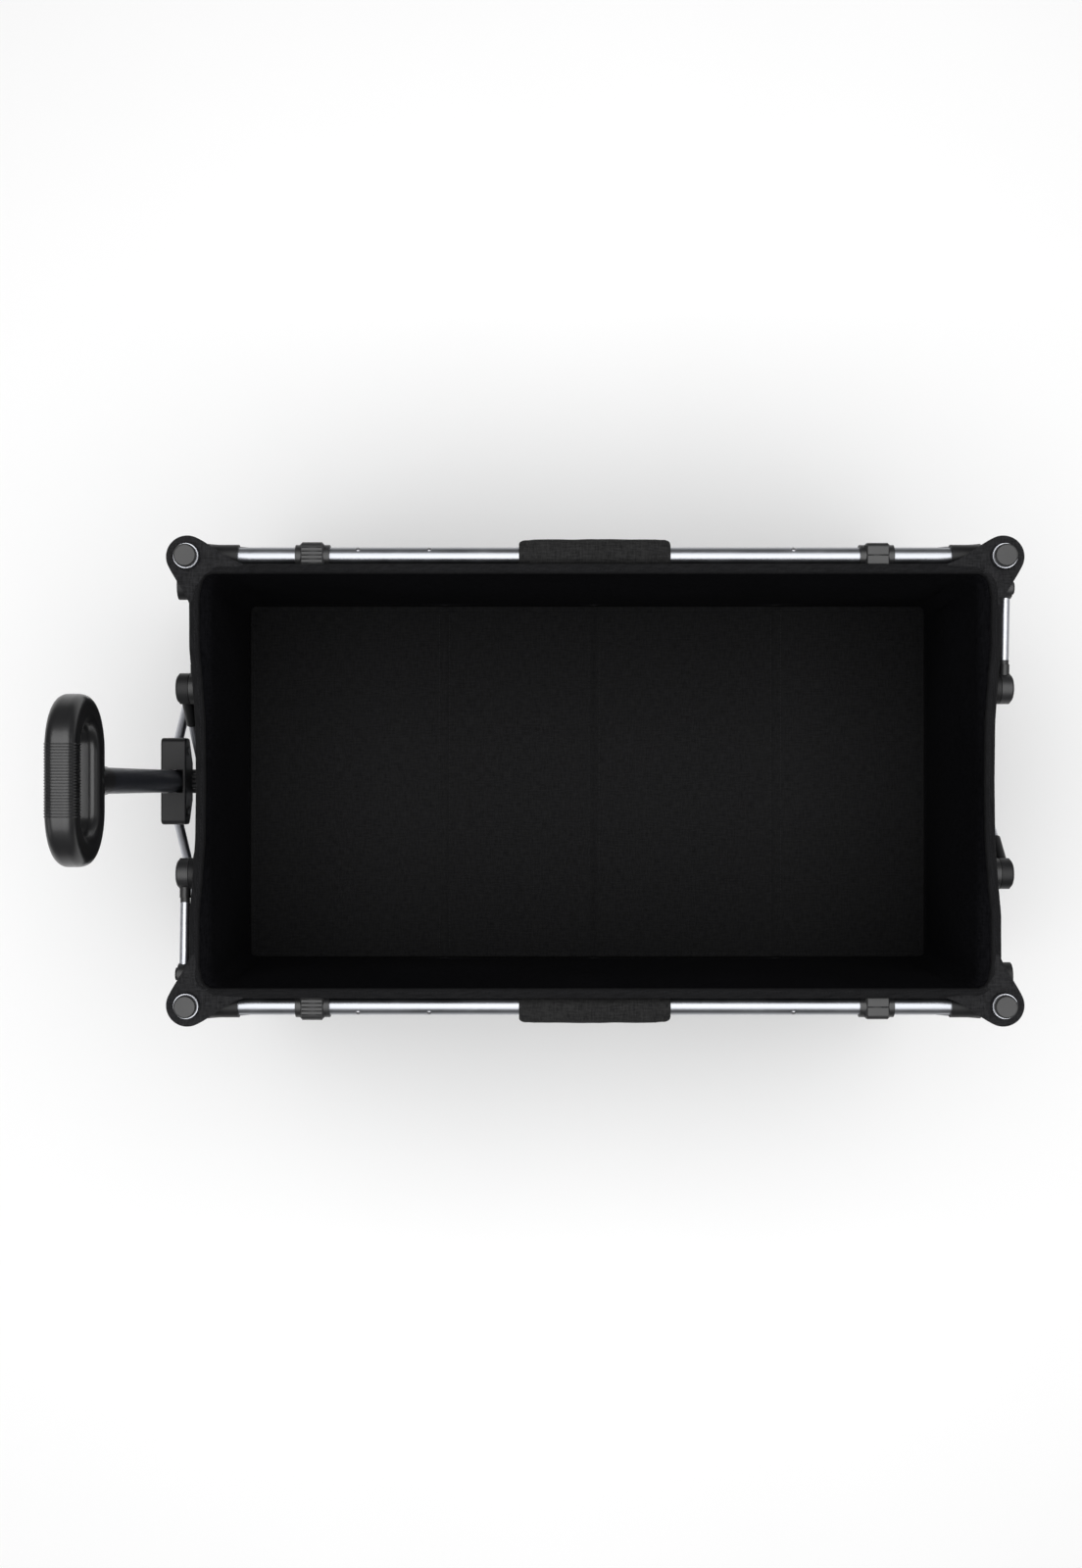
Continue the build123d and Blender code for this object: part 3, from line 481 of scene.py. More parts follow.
def lay_cloth(mesh, uv, girth):
    """Gives each corner its place on the flat cloth. Girth is the axis and length of a closed loop of cloth,
    whose last column runs on past the end instead of back to the start."""
    corners = np.zeros(len(mesh.loops), dtype=np.int32)
    mesh.loops.foreach_get("vertex_index", corners)
    places = np.asarray(uv, dtype=np.float32)[corners]
    if girth:
        axis, length = girth
        starts = np.zeros(len(mesh.polygons), dtype=np.int32)
        mesh.polygons.foreach_get("loop_start", starts)
        along = places[:, axis]
        span = np.maximum.reduceat(along, starts) - np.minimum.reduceat(along, starts)
        owner = np.repeat(np.arange(len(starts)), np.diff(np.append(starts, len(corners))))
        places[(span[owner] > length / 2) & (along < length / 2), axis] += length
    mesh.uv_layers.new(name="cloth").data.foreach_set("uv", places.ravel())


def make_piece(name, points, faces, finish, uv=None, smooth_angle=50.0, girth=None):
    """A mesh with its place in its points, smooth but for its hard edges."""
    mesh = bpy.data.meshes.new(name)
    mesh.from_pydata([tuple(p) for p in points], [], [tuple(f) for f in faces])
    if uv is not None:
        lay_cloth(mesh, uv, girth)
    mesh.materials.append(finish)
    mesh.polygons.foreach_set("use_smooth", np.ones(len(mesh.polygons), dtype=bool))
    mesh.set_sharp_from_angle(angle=radians(smooth_angle))
    return show(name, mesh)


def apply_modifiers(piece):
    """Turns the evaluated shape into the piece's own mesh."""
    depsgraph = bpy.context.evaluated_depsgraph_get()
    mesh = bpy.data.meshes.new_from_object(piece.evaluated_get(depsgraph), depsgraph=depsgraph)
    piece.modifiers.clear()
    piece.data = mesh
    return piece


def thicken(piece, name, thickness):
    """Gives a sheet its thickness, half to each side."""
    wall = piece.modifiers.new(name, "SOLIDIFY")
    wall.thickness = thickness
    wall.offset = 0.0


class Tree:
    """A Geometry Nodes tree with named sizes, which sets copies of one shape on a path or on points."""

    def __init__(self, name, sizes):
        self.group = bpy.data.node_groups.new(name, "GeometryNodeTree")
        face = self.group.interface
        face.new_socket("Path", in_out="INPUT", socket_type="NodeSocketGeometry")
        for label in sizes:
            face.new_socket(label, in_out="INPUT", socket_type="NodeSocketFloat")
        face.new_socket("Finish", in_out="INPUT", socket_type="NodeSocketMaterial")
        face.new_socket("Geometry", in_out="OUTPUT", socket_type="NodeSocketGeometry")
        self.given = self.group.nodes.new("NodeGroupInput").outputs
        self.result = self.group.nodes.new("NodeGroupOutput").inputs[0]

    def add(self, kind, settings=None, sockets=None):
        made = self.group.nodes.new(kind)
        for key, value in (settings or {}).items():
            setattr(made, key, value)
        for key, value in (sockets or {}).items():
            if isinstance(value, bpy.types.NodeSocket):
                self.group.links.new(value, made.inputs[key])
            else:
                made.inputs[key].default_value = value
        return made.outputs[0]

    def along_path(self):
        line = self.add("GeometryNodeMeshToCurve", None, {0: self.given["Path"]})
        return self.add("GeometryNodeResampleCurve", {"mode": "LENGTH"},
                        {"Curve": line, "Length": self.given["Pitch"]})

    def tangent(self):
        return self.add("GeometryNodeInputTangent")

    def facing(self):
        return self.add("GeometryNodeInputNamedAttribute", {"data_type": "FLOAT_VECTOR"}, {"Name": "facing"})

    def stretched(self, shape, *labels):
        sizes = {i: self.given[label] for i, label in enumerate(labels)}
        scale = self.add("ShaderNodeCombineXYZ", None, sizes)
        return self.add("GeometryNodeTransform", None, {"Geometry": shape, "Scale": scale})

    def close(self, points, shape, facing):
        turned = self.add("FunctionNodeAlignRotationToVector", {"axis": "Z"}, {"Vector": facing})
        copies = self.add("GeometryNodeInstanceOnPoints", None,
                          {"Points": points, "Instance": shape, "Rotation": turned})
        smooth = self.add("GeometryNodeSetShadeSmooth", None,
                          {0: self.add("GeometryNodeRealizeInstances", None, {0: copies})})
        dressed = self.add("GeometryNodeSetMaterial", None, {0: smooth, "Material": self.given["Finish"]})
        self.group.links.new(dressed, self.result)
        return self.group


def stitch_tree():
    tree = Tree("stitches", ("Pitch", "Length", "Thread"))
    bead = tree.add("GeometryNodeMeshUVSphere", None, {"Segments": 6, "Rings": 4, "Radius": 1.0})
    return tree.close(tree.along_path(), tree.stretched(bead, "Thread", "Thread", "Length"), tree.tangent())


def rib_tree():
    tree = Tree("ribs", ("Pitch", "Width", "Height", "Corner", "Bead"))
    outline = tree.add("GeometryNodeCurvePrimitiveQuadrilateral", None,
                       {"Width": tree.given["Width"], "Height": tree.given["Height"]})
    rounded = tree.add("GeometryNodeFilletCurve", {"mode": "POLY"},
                       {"Curve": outline, "Count": 5, "Radius": tree.given["Corner"]})
    section = tree.add("GeometryNodeCurvePrimitiveCircle", None,
                       {"Resolution": 8, "Radius": tree.given["Bead"]})
    shape = tree.add("GeometryNodeCurveToMesh", None, {"Curve": rounded, "Profile Curve": section})
    return tree.close(tree.along_path(), shape, tree.tangent())


def head_tree():
    tree = Tree("domed heads", ("Radius", "Rise"))
    dome = tree.add("GeometryNodeMeshUVSphere", None, {"Segments": 20, "Rings": 10, "Radius": 1.0})
    return tree.close(tree.given["Path"], tree.stretched(dome, "Radius", "Radius", "Rise"), tree.facing())


def lug_tree():
    tree = Tree("tread lugs", ("Length", "Width", "Height"))
    block = tree.add("GeometryNodeMeshCube", None, {"Size": (1.0, 1.0, 1.0)})
    return tree.close(tree.given["Path"], tree.stretched(block, "Length", "Width", "Height"), tree.facing())


STITCHES, RIBS, HEADS, LUGS = stitch_tree(), rib_tree(), head_tree(), lug_tree()


def repeat(name, tree, lines, finish, facing=None, **sizes):
    """Copies of a tree's shape along lines of points, or on single points that face a given way."""
    points, edges = [], []
    for line in lines:
        edges += [(len(points) + i, len(points) + i + 1) for i in range(len(line) - 1)]
        points += [tuple(p) for p in line]
    mesh = bpy.data.meshes.new(name)
    mesh.from_pydata(points, edges, [])
    if facing is not None:
        attribute = mesh.attributes.new("facing", "FLOAT_VECTOR", "POINT")
        attribute.data.foreach_set("vector", np.asarray(facing, dtype=np.float32).ravel())
    made = show(name, mesh)
    modifier = made.modifiers.new(name, "NODES")
    modifier.node_group = tree
    for item in tree.interface.items_tree:
        if item.in_out == "INPUT" and item.name in sizes:
            modifier[item.identifier] = sizes[item.name]
        if item.name == "Finish":
            modifier[item.identifier] = finish
    return apply_modifiers(made)


def attach(piece, body):
    """Puts a piece on the body that carries it."""
    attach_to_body(piece, body)


def fold_with_bag(piece):
    """Puts a piece of the bag's cloth on the left side frame, with a mesh of its own."""
    attach(piece, "left_side_frame")
    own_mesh(piece)


def rounded_loop(half_x, half_y, corner, count):
    """Points round a rounded rectangle, evenly spaced along its line, and their distances."""
    runs = []
    for turn, (cx, cy) in enumerate(((1, 1), (-1, 1), (-1, -1), (1, -1))):
        centre = np.array((cx * (half_x - corner), cy * (half_y - corner)))
        for step in np.linspace(0, pi / 2, corner_points):
            angle = turn * pi / 2 + step
            runs.append(centre + corner * np.array((cos(angle), sin(angle))))
    line = np.array(runs + runs[:1])
    lengths = np.concatenate(([0.0], np.cumsum(np.linalg.norm(np.diff(line, axis=0), axis=1))))
    places = np.linspace(0, lengths[-1], count, endpoint=False)
    loop = np.stack([np.interp(places, lengths, line[:, axis]) for axis in (0, 1)], axis=1)
    return loop + np.array((cart_x, 0.0)), places, lengths[-1]


def hem_loop(inset, count):
    """Loop of the rim, set in from its outer edge. Its ends bow in at the middle, and out beside the ears."""
    loop, places, _ = rounded_loop(hem_half_x - inset, hem_half_y - inset, bag_corner - inset, count)
    away = loop[:, 0] - cart_x
    at_end = np.clip((np.abs(away) - (hem_half_x - hem_bow_reach)) / hem_bow_blend, 0.0, 1.0)
    shift = np.interp(np.abs(loop[:, 1]), *zip(*hem_bow))
    return np.column_stack([loop[:, 0] + np.sign(away) * shift * at_end, loop[:, 1]]), places


def band_faces(rows, count, closed=True, wrapped=False):
    """Quads between rows of points, round a closed loop or along an open one.
    Wrapped, the last row meets the first."""
    faces = []
    span = count if closed else count - 1
    for row in range(rows if wrapped else rows - 1):
        here, there = row * count, (row + 1) % rows * count
        for i in range(span):
            j = (i + 1) % count
            faces.append((here + i, here + j, there + j, there + i))
    return faces


def wall_slack(x, y, height):
    """How far the hung cloth leans into the bag, from its rim (1) down to its floor (0)."""
    place = np.array((x, y, height))
    sway = noise.noise(Vector(place * sway_scale))
    pucker = noise.noise(Vector(place * pucker_scale + pucker_start))
    belly = sin(pi * min(max(height, 0.0), 1.0))
    return sway_depth * belly * (1 + sway) + pucker_depth * belly * (1 + pucker)


def build_bag_shell():
    """Walls and floor as one lofted sheet, slack between the rim and the stiff floor."""
    top_loop, places, around = rounded_loop(wall_top_half_x, wall_top_half_y, bag_corner, loop_points)
    low_loop = rounded_loop(floor_half_x, floor_half_y, bag_corner, loop_points)[0]
    rim_loop = hem_loop(hem_wall_inset, loop_points)[0]
    middle = np.array((cart_x, 0.0))
    out = top_loop - middle
    straight = np.array((wall_top_half_x, wall_top_half_y)) - bag_corner
    inward = np.where(np.abs(out) > straight, -np.sign(out), 0.0)
    inward /= np.maximum(np.linalg.norm(inward, axis=1, keepdims=True), 1e-9)
    rows, uv = [], []

    def add_row(loop, z, cloth):
        rows.append(np.column_stack([loop, np.full(loop_points, z)]))
        uv.append(cloth)

    depth = wall_top_z - floor_z - bend_r
    for row in range(wall_rows):
        height = 1 - (row / (wall_rows - 1)) ** wall_row_spread
        z = floor_z + bend_r + depth * height
        loop = low_loop + (top_loop - low_loop) * height
        lean = np.array([wall_slack(x, y, height) for x, y in loop])
        loop = loop + inward * lean[:, None]
        flare = max(0.0, 1 - (1 - height) / flare_share) ** flare_curve
        add_row(loop + (rim_loop - loop) * flare, z, np.column_stack([places, np.full(loop_points, z)]))
    for step in range(1, bend_rows + 1):
        angle = step / bend_rows * pi / 2
        shrink = bend_r * (1 - cos(angle))
        corner = bag_corner - shrink * bend_corner_share
        loop = rounded_loop(floor_half_x - shrink, floor_half_y - shrink, corner, loop_points)[0]
        z = floor_z + bend_r * (1 - sin(angle))
        add_row(loop, z, np.column_stack([places, np.full(loop_points, z - shrink)]))
    floor_loop = loop
    for share in np.linspace(floor_outer_share, 0.0, floor_rings):
        loop = middle + (floor_loop - middle) * max(share, floor_inner_share)
        add_row(loop, floor_z, loop)
    faces = [tuple(reversed(f)) for f in band_faces(len(rows), loop_points)]
    faces.append(tuple(range((len(rows) - 1) * loop_points, len(rows) * loop_points)))
    shell = make_piece("bag_shell", np.concatenate(rows), faces, bag_cloth, np.concatenate(uv),
                       girth=(0, around))
    thicken(shell, "cloth thickness", cloth_thickness)
    return apply_modifiers(shell)


def build_hem():
    """Bound rim: a folded band that runs all round the opening."""
    rows, uv = [], []
    for turn in range(hem_turns):
        angle = 2 * pi * turn / hem_turns
        across = np.sign(cos(angle)) * abs(cos(angle)) ** hem_roundness
        upward = np.sign(sin(angle)) * abs(sin(angle)) ** hem_roundness
        loop, places = hem_loop(hem_width / 2 - across * hem_width / 2, loop_points)
        puff = np.array([hem_puff * noise.noise(Vector((x, y, hem_puff_level)))
                         for x, y in loop * hem_puff_scale])
        z = rim_z - hem_height / 2 + upward * (hem_height / 2 - hem_puff) + puff
        rows.append(np.column_stack([loop, z]))
        uv.append(np.column_stack([places, np.full(loop_points, turn / hem_turns * hem_girth)]))
    faces = band_faces(hem_turns, loop_points, wrapped=True)
    return make_piece("bag_hem", np.concatenate(rows), faces, rim_cloth, np.concatenate(uv),
                      smooth_angle=80.0, girth=(0, places[-1]))


def bezier(points, steps):
    t = np.linspace(0, 1, steps)[:, None]
    a, b, c, d = (np.array(p) for p in points)
    return a * (1 - t) ** 3 + 3 * b * t * (1 - t) ** 2 + 3 * c * t ** 2 * (1 - t) + d * t ** 3


def ear_tip(angle):
    return ear_radius * np.array((cos(angle), sin(angle)))


def ear_outline():
    """Outline of a corner ear about its post, with +a and +b towards the middle of the bag."""
    edge_a, edge_b = post_x - hem_half_x, post_y - hem_half_y
    start, finish = ear_tip(ear_first), ear_tip(ear_last)
    side_run = bezier(((ear_reach, edge_b), (ear_reach - ear_ease, edge_b), start + ear_side_ease, start),
                      ear_run_points)
    tip = [ear_tip(angle) for angle in np.linspace(ear_first, ear_last, ear_tip_points + 2)[1:-1]]
    end_run = bezier((finish, finish + ear_end_ease, (edge_a, ear_reach - ear_ease), (edge_a, ear_reach)),
                     ear_run_points)
    lap_a, lap_b = edge_a + ear_lap, edge_b + ear_lap
    inner = [(lap_a, ear_reach), (lap_a, lap_b + ear_inner_far),
             (lap_a + ear_inner_near, lap_b + ear_inner_near),
             (lap_a + ear_inner_far, lap_b), (ear_reach, lap_b)]
    return np.concatenate([side_run, np.array(tip), end_run, np.array(inner)])


def ear_reaches(outline):
    """Distance from the post to the ear's edge, in even steps round the post."""
    closed = np.vstack([outline, outline[:1]])
    reaches = []
    for i in range(ear_turns):
        ray = np.array((cos(2 * pi * i / ear_turns), sin(2 * pi * i / ear_turns)))
        reach = post_r
        for p, q in zip(closed[:-1], closed[1:]):
            d = q - p
            cross = ray[0] * d[1] - ray[1] * d[0]
            if abs(cross) < 1e-12:
                continue
            t = (p[0] * d[1] - p[1] * d[0]) / cross
            s = (p[0] * ray[1] - p[1] * ray[0]) / cross
            if t > 0 and -1e-9 <= s <= 1 + 1e-9:
                reach = max(reach, t)
        reaches.append(reach)
    return reaches


def build_ears(side):
    """The two corner ears of one side, each a flap with a hole for its post."""
    reaches = ear_reaches(ear_outline())
    points, faces, uv = [], [], []
    for end in ENDS.values():
        base = len(points)
        for share in np.linspace(0, 1, ear_rings):
            droop = ear_droop * max(0.0, share - ear_droop_start) ** 2
            z = rim_z - ear_thickness / 2 - seam_sink - droop
            for i, reach in enumerate(reaches):
                far = ear_hole_r + (reach - ear_hole_r) * share
                a, b = far * cos(2 * pi * i / ear_turns), far * sin(2 * pi * i / ear_turns)
                x, y = cart_x + end * (post_x - a), SIDES[side] * (post_y - b)
                points.append((x, y, z))
                uv.append((x, y))
        faces += [tuple(base + v for v in face) for face in band_faces(ear_rings, ear_turns)]
    ears = make_piece(f"{side}_bag_ears", points, faces, ear_cloth, uv)
    bm = bmesh.new()
    bm.from_mesh(ears.data)
    bmesh.ops.recalc_face_normals(bm, faces=bm.faces)
    bm.to_mesh(ears.data)
    bm.free()
    thicken(ears, "flap thickness", ear_thickness)
    edge = ears.modifiers.new("turned edge", "BEVEL")
    edge.width = ear_edge_r
    edge.segments = 2
    return apply_modifiers(ears)


def mat_place(u, v):
    """Square grid points drawn in to round the corners of the mat."""
    straight_x, straight_y = mat_half_x - mat_corner, mat_half_y - mat_corner
    past_x, past_y = abs(u) - straight_x, abs(v) - straight_y
    if past_x > 0 and past_y > 0:
        scale = max(past_x, past_y) / hypot(past_x, past_y)
        u = (straight_x + past_x * scale) * np.sign(u)
        v = (straight_y + past_y * scale) * np.sign(v)
    return u, v


def mat_relief(u, v):
    """How far the mat's top lies below its highest level."""
    edge = min(mat_half_x - abs(u), mat_half_y - abs(v))
    fold = min(abs(u - f) for f in mat_folds)
    drop = mat_fold_depth * np.exp(-(fold / mat_fold_width) ** 2)
    drop += mat_seam_depth * np.exp(-((edge - mat_seam_inset) / mat_seam_width) ** 2)
    drop += mat_edge_depth * max(0.0, 1 - edge / mat_edge_width) ** 2
    drop += mat_crown_depth * (1 - min(1.0, fold / mat_crown_width))
    wave = noise.noise(Vector((u * mat_wave_scale, v * mat_wave_scale, mat_wave_level)))
    drop += mat_wave_depth * (1 + wave)
    return drop


def build_mat():
    """Boards sewn into a cover: crowned panels, sunk fold lines and a sewn border, flat underneath."""
    points, uv = [], []
    for v in np.linspace(-mat_half_y, mat_half_y, mat_rows):
        for u in np.linspace(-mat_half_x, mat_half_x, mat_columns):
            x, y = mat_place(u, v)
            points.append((cart_x + x, y, mat_high.z - mat_relief(u, v)))
            uv.append((x, y))
    faces = band_faces(mat_rows, mat_columns, False)
    grid = np.arange(mat_rows * mat_columns).reshape(mat_rows, mat_columns)
    edge = np.concatenate([grid[0], grid[1:, -1], grid[-1, -2::-1], grid[-2:0:-1, 0]]).tolist()
    under = range(len(points), len(points) + len(edge))
    points += [(points[i][0], points[i][1], mat_low.z) for i in edge]
    uv += [uv[i] for i in edge]
    for i in range(len(edge)):
        j = (i + 1) % len(edge)
        faces.append((edge[j], edge[i], under[i], under[j]))
    faces.append(tuple(reversed(under)))
    return make_piece("base_mat_cover", points, faces, mat_cloth, uv)


bag_shell = build_bag_shell()
bag_hem = build_hem()
bag_ears = {side: build_ears(side) for side in SIDES}
base_mat = build_mat()
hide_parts("bag")
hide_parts("base_mat")
for piece in (bag_shell, bag_hem):
    fold_with_bag(piece)
for side, piece in bag_ears.items():
    attach(piece, f"{side}_side_frame")
fold_with_bag(base_mat)


def sleeve_section(inset, share):
    """Points round the padded sleeve, from the rail's surface (0) to its outer skin (1)."""
    centre = np.array(((sleeve_low.y + sleeve_high.y) / 2, (sleeve_low.z + sleeve_high.z) / 2))
    half = np.array((sleeve_high.y - sleeve_low.y, sleeve_high.z - sleeve_low.z)) / 2 - inset
    rail = np.array((rail_y, rail_z))
    ring = []
    for turn in range(sleeve_turns):
        angle = 2 * pi * turn / sleeve_turns - pi / 2
        ray = np.array((cos(angle), sin(angle)))
        outer = centre + half * np.sign(ray) * np.abs(ray) ** sleeve_roundness
        inner = rail + (rail_r + sleeve_rail_gap) * (outer - rail) / np.linalg.norm(outer - rail)
        ring.append(inner + (outer - inner) * share)
    return np.array(ring)


def sleeve_grid():
    """Closed skin of the sleeve as rings: outside, far end, inside, near end. Held rings stay put."""
    rings, held, lengths = [], [], []
    low, high = sleeve_low.x + sleeve_end_gap, sleeve_high.x - sleeve_end_gap

    def add_ring(x, share, cloth, inset=sleeve_puff, fixed=True):
        rings.append((x, sleeve_section(inset, share)))
        held.append(fixed)
        lengths.append(x + cloth)

    for row in range(sleeve_rows):
        t = row / (sleeve_rows - 1)
        x = low + (high - low) * (t - sleeve_row_gather * sin(2 * pi * t) / (2 * pi))
        end = min(x - low, high - x)
        share = sleeve_mouth_share + (1 - sleeve_mouth_share) * min(1.0, end / sleeve_mouth_width) ** 0.5
        tuck = sleeve_tuck_depth * np.exp(-((end - sleeve_tuck_place) / sleeve_tuck_width) ** 2)
        add_ring(x, share, 0.0, sleeve_puff + tuck, end < sleeve_held_end)
    lip_cloth = sleeve_lip_cloth * (1 - sleeve_lip_share)
    add_ring(high, sleeve_lip_share, lip_cloth)
    add_ring(high - sleeve_lip_depth, 0.0, sleeve_lip_cloth)
    for x in np.linspace(high - sleeve_lining_end, low + sleeve_lining_end, sleeve_lining_rows):
        add_ring(x, 0.0, 0.0)
    add_ring(low + sleeve_lip_depth, 0.0, -sleeve_lip_cloth)
    add_ring(low, sleeve_lip_share, -lip_cloth)
    return rings, held, lengths


def blow_up(start, faces, held):
    """The sleeve's skin as cloth, swollen by its padding while its ends, lining and joint are held."""
    trial = make_piece("sleeve_trial", start, faces, sleeve_cloth)
    fixed = [row * sleeve_turns + i for row, keep in enumerate(held) for i in range(sleeve_turns)
             if keep or i in (sleeve_joint, sleeve_joint + 1)]
    trial.vertex_groups.new(name="held").add(fixed, 1.0, "REPLACE")
    settings = trial.modifiers.new("padding", "CLOTH").settings
    settings.vertex_group_mass = "held"
    settings.use_pressure = True
    settings.uniform_pressure_force = 4.0
    settings.effector_weights.gravity = 0.0
    settings.tension_stiffness = 18.0
    settings.compression_stiffness = 18.0
    settings.bending_stiffness = 0.4
    for number in range(1, sleeve_frames + 1):
        bpy.context.scene.frame_set(number)
    blown = trial.evaluated_get(bpy.context.evaluated_depsgraph_get()).data
    moved = np.zeros(3 * len(start), dtype=np.float32)
    blown.vertices.foreach_get("co", moved)
    bpy.context.scene.frame_set(1)
    bpy.data.objects.remove(trial)
    return moved.reshape(-1, 3).astype(float)


def sleeve_shape(faces, rings, held):
    """Points of the right sleeve: its swollen skin with shallow rumples."""
    start = np.array([(x, y, z) for x, ring in rings for y, z in ring])
    shape = start.copy()
    shape = blow_up(start, faces, held)
    swell = shape - start
    reach = np.linalg.norm(swell, axis=1, keepdims=True)
    shape = start + swell * np.minimum(1.0, sleeve_swell / np.maximum(reach, 1e-9))
    rumple = np.array([noise.noise(Vector(p * sleeve_rumple_scale)) for p in shape])
    away = shape[:, 1:] - np.array((rail_y, rail_z))
    radius = np.linalg.norm(away, axis=1)
    soft = np.clip((radius - rail_r - sleeve_soft_start) / sleeve_soft_run, 0.0, 1.0)
    shape[:, 1:] += away / radius[:, None] * (sleeve_rumple * rumple * soft)[:, None]
    return np.clip(shape, np.array(sleeve_low) + sleeve_box_gap, np.array(sleeve_high) - sleeve_box_gap)


def sleeve_seams(points, sense):
    """Lines of sewing round the sleeve, beside its ends."""
    seams = []
    for row in (sleeve_seam_row, sleeve_rows - 1 - sleeve_seam_row):
        ring = points[row * sleeve_turns:(row + 1) * sleeve_turns].copy()
        out = ring[:, 1:] - np.array((sense * rail_y, rail_z))
        ring[:, 1:] += out / np.linalg.norm(out, axis=1)[:, None] * sleeve_seam_lift
        seams.append(np.vstack([ring, ring[:1]]))
    return seams


def build_sleeves():
    """One sleeve is blown up as cloth round its rail, then set on both sides, turned half round."""
    rings, held, lengths = sleeve_grid()
    faces = band_faces(len(rings), sleeve_turns, wrapped=True)
    outward = [tuple(reversed(f)) for f in faces]
    shape = sleeve_shape(faces, rings, held)
    skin = sleeve_section(sleeve_puff, 1.0)
    girth = np.concatenate(([0.0], np.cumsum(np.linalg.norm(np.diff(skin, axis=0), axis=1))))
    around = girth[-1] + np.linalg.norm(skin[0] - skin[-1])
    uv = np.array([(length, g) for length in lengths for g in girth])
    for side, sense in SIDES.items():
        points = shape.copy()
        if sense < 0:
            points[:, 0] = 2 * cart_x - points[:, 0]
            points[:, 1] = -points[:, 1]
        sleeve = make_piece(f"{side}_rail_sleeve", points, outward, sleeve_cloth, uv, girth=(1, around))
        smooth = sleeve.modifiers.new("smooth", "SUBSURF")
        smooth.levels = smooth.render_levels = 1
        apply_modifiers(sleeve)
        sewing = repeat(f"{side}_sleeve_stitches", STITCHES, sleeve_seams(points, sense), sewing_thread,
                        **sleeve_stitch)
        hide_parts(f"{side}_grip_sleeve")
        for piece in (sleeve, sewing):
            attach(piece, f"{side}_side_frame")


build_sleeves()

# Rivets and joint-block ridges on the rails
for side, sense in SIDES.items():
    lean = Vector((0, sense * rivet_lean_y, rivet_lean_z)).normalized()
    lift = lean * (rail_r - rivet_sink)
    spots = [[Vector((cart_x + x, sense * rail_y, rail_z)) + lift] for x in rivet_places]
    rivets = repeat(f"{side}_rail_rivets", HEADS, spots, zinc_steel, [lean] * len(spots), **rivet_size)
    ridge_spots, facing = [], []
    for x, offsets in block_places.items():
        for offset in offsets:
            ridge_spots.append([(cart_x + x, sense * rail_y + offset, rail_z + block_half)])
            ridge_spots.append([(cart_x + x, sense * (rail_y + block_half), rail_z + offset)])
            facing += [(0, 0, 1), (0, sense, 0)]
    ridges = repeat(f"{side}_block_ridges", LUGS, ridge_spots, cap_plastic, facing, **ridge_size)
    attach(rivets, f"{side}_side_frame")
    attach(ridges, f"{side}_side_frame")

# Ribs across the top of the hand grip
rib_line = [(grip_x, y, grip_high.z - grip_bar / 2) for y in (-rib_reach, rib_reach)]
grip_ribs = repeat("grip_ribs", RIBS, [rib_line], grip_plastic, **rib_size)
attach(grip_ribs, "handle_extension")

# Tread blocks on the shoulders of the tyres
for side in SIDES:
    for end in ENDS:
        low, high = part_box(f"{side}_{end}_tyre")
        hub = (low + high) / 2
        tread_r = (high.z - low.z) / 2 - lug_sink
        spots, facing = [], []
        for row in (-1, 1):
            for i in range(lug_count):
                angle = 2 * pi * (i + lug_stagger * row) / lug_count
                out = Vector((cos(angle), 0, sin(angle)))
                spots.append([hub + out * tread_r + Vector((0, row * lug_row_y, 0))])
                facing.append(out)
        lugs = repeat(f"{side}_{end}_tread", LUGS, spots, tyre_rubber, facing, **lug_size)
        attach(lugs, f"{side}_{end}_wheel")


# Sewing on the bag and on the mat
def closed_seam(loop, z):
    ring = [(x, y, z) for x, y in loop]
    return ring + ring[:1]


def ear_seams(sense):
    """Lines of sewing just inside the edge of the ears of one side."""
    lines = []
    for end in ENDS.values():
        line = []
        for a, b in ear_outline()[:2 * ear_run_points + ear_tip_points]:
            pull = 1 - ear_seam_inset / hypot(a, b)
            line.append((cart_x + end * (post_x - a * pull), sense * (post_y - b * pull), rim_z - seam_sink))
        lines.append(line)
    return lines


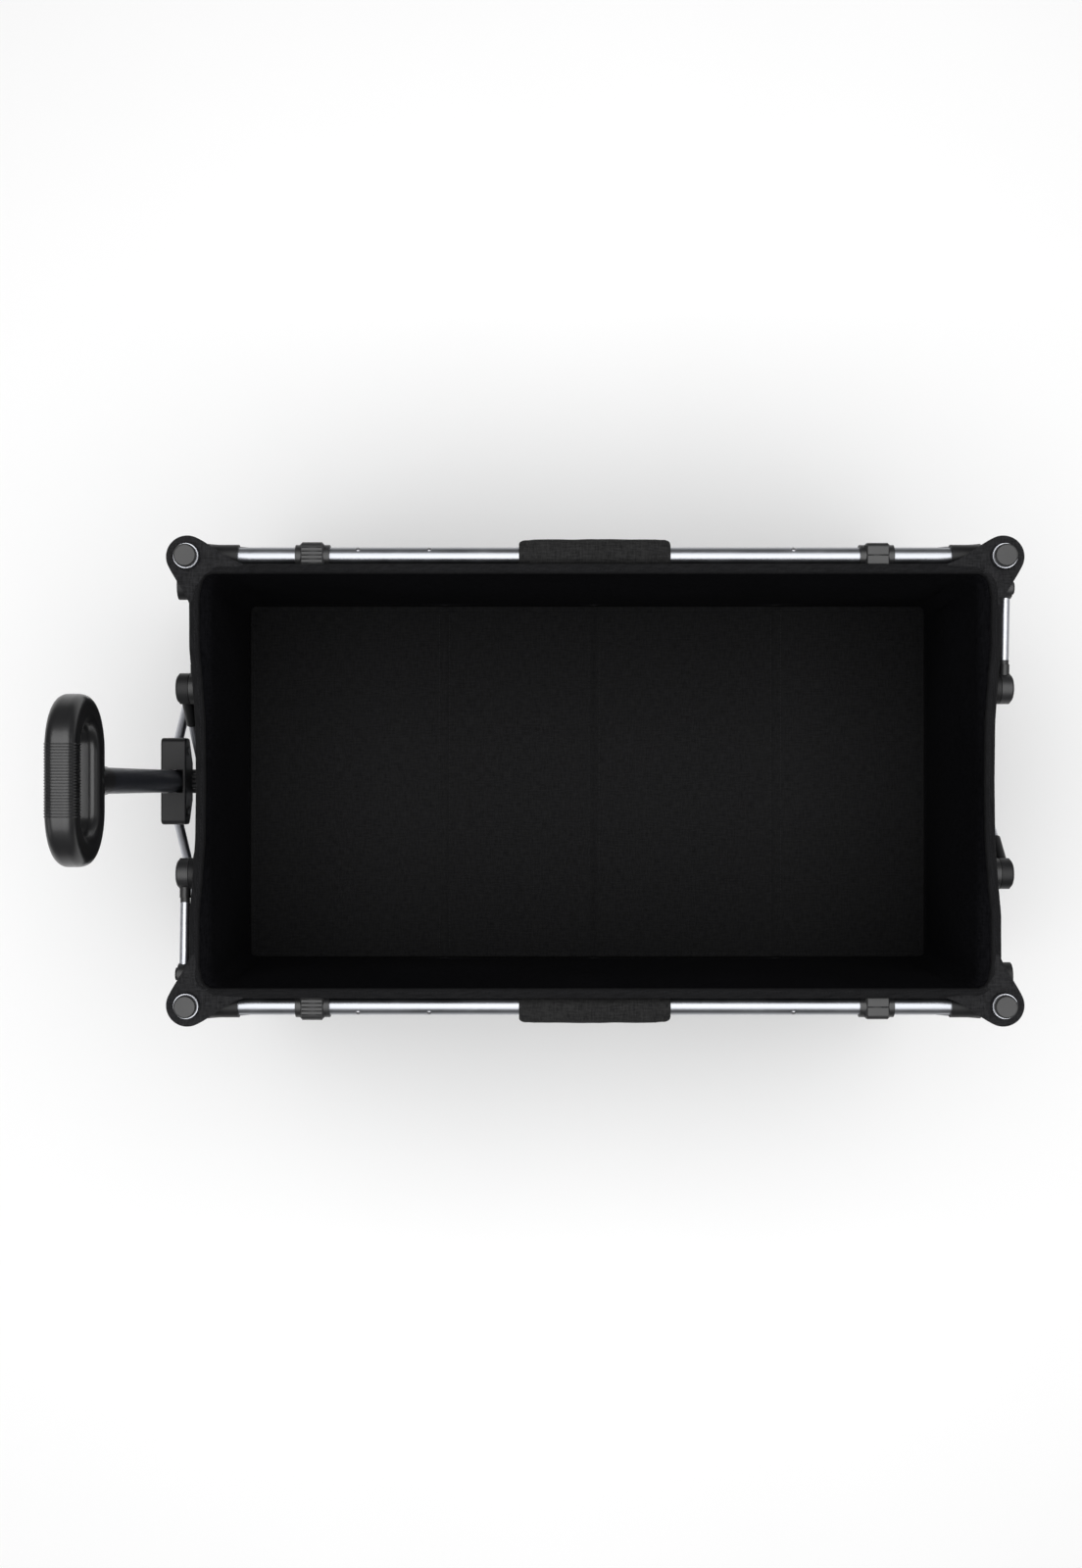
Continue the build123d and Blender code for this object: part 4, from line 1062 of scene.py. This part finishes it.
hem_seam = closed_seam(hem_loop(hem_seam_inset, hem_seam_points)[0], rim_z - seam_sink)
bag_sewing = repeat("bag_sewing", STITCHES, [hem_seam], sewing_thread, **bag_stitch)
ear_sewing = []
for side, sense in SIDES.items():
    ear_sewing.append(repeat(f"{side}_ear_sewing", STITCHES, ear_seams(sense), sewing_thread, **bag_stitch))
    attach(ear_sewing[-1], f"{side}_side_frame")
mat_border = rounded_loop(mat_half_x - mat_seam_inset, mat_half_y - mat_seam_inset, mat_seam_corner,
                          mat_seam_points)[0]
mat_seams = [closed_seam(mat_border, mat_high.z - mat_border_sink)]
fold_seam_y = mat_half_y - mat_fold_seam_end
for fold in mat_folds:
    for beside in (-mat_fold_seam, mat_fold_seam):
        x = cart_x + fold + beside
        mat_seams.append([(x, y, mat_high.z - mat_fold_sink)
                          for y in np.linspace(-fold_seam_y, fold_seam_y, mat_fold_seam_points)])
mat_sewing = repeat("mat_sewing", STITCHES, mat_seams, sewing_thread, **bag_stitch)
fold_with_bag(bag_sewing)
fold_with_bag(mat_sewing)

# Studio: pale floor, softboxes and the camera above the cart
paper = Finish("floor_paper")
paper_tone = paper.speckle(paper.place(), paper_scale)
paper.wear(Base_Color=paper.mixed(paper_tone, (0.93, 0.93, 0.93), (0.95, 0.95, 0.95)),
           Roughness=0.9, Specular_IOR_Level=0.1)
floor_mesh = bpy.data.meshes.new("studio_floor")
floor_corners = [(x * floor_half, y * floor_half, 0) for x, y in ((-1, -1), (1, -1), (1, 1), (-1, 1))]
floor_mesh.from_pydata(floor_corners, [], [(0, 1, 2, 3)])
floor_mesh.materials.append(paper.material)
show("studio_floor", floor_mesh)


def softbox(name, place, target, size, power):
    light = bpy.data.lights.new(name, "AREA")
    light.shape = "RECTANGLE"
    light.size, light.size_y = size
    light.energy = power
    lamp = show(name, light)
    lamp.location = place
    lamp.rotation_euler = (Vector(target) - Vector(place)).to_track_quat("-Z", "Y").to_euler()


softbox("overhead_softbox", (0.0, 0.0, 3.4), (0.0, 0.0, 0.0), (4.2, 4.2), 164.0)
softbox("rear_softbox", (2.8, 0.4, 1.9), (0.0, 0.0, 0.3), (1.6, 1.6), 6.0)
softbox("front_softbox", (-2.6, -0.9, 1.7), (0.0, 0.0, 0.3), (1.4, 1.4), 6.0)

world = bpy.data.worlds.new("studio")
world.use_nodes = True
background = world.node_tree.nodes["Background"].inputs
background["Color"].default_value = (1.0, 1.0, 1.0, 1.0)
background["Strength"].default_value = world_strength
bpy.context.scene.world = world
bpy.context.scene.view_settings.view_transform = "Standard"

camera = bpy.data.cameras.new("overhead_camera")
camera.sensor_width = view_sensor
camera.lens = view_lens
viewpoint = show("overhead_camera", camera)
viewpoint.location = (view_x, view_y, view_z)
bpy.context.scene.camera = viewpoint
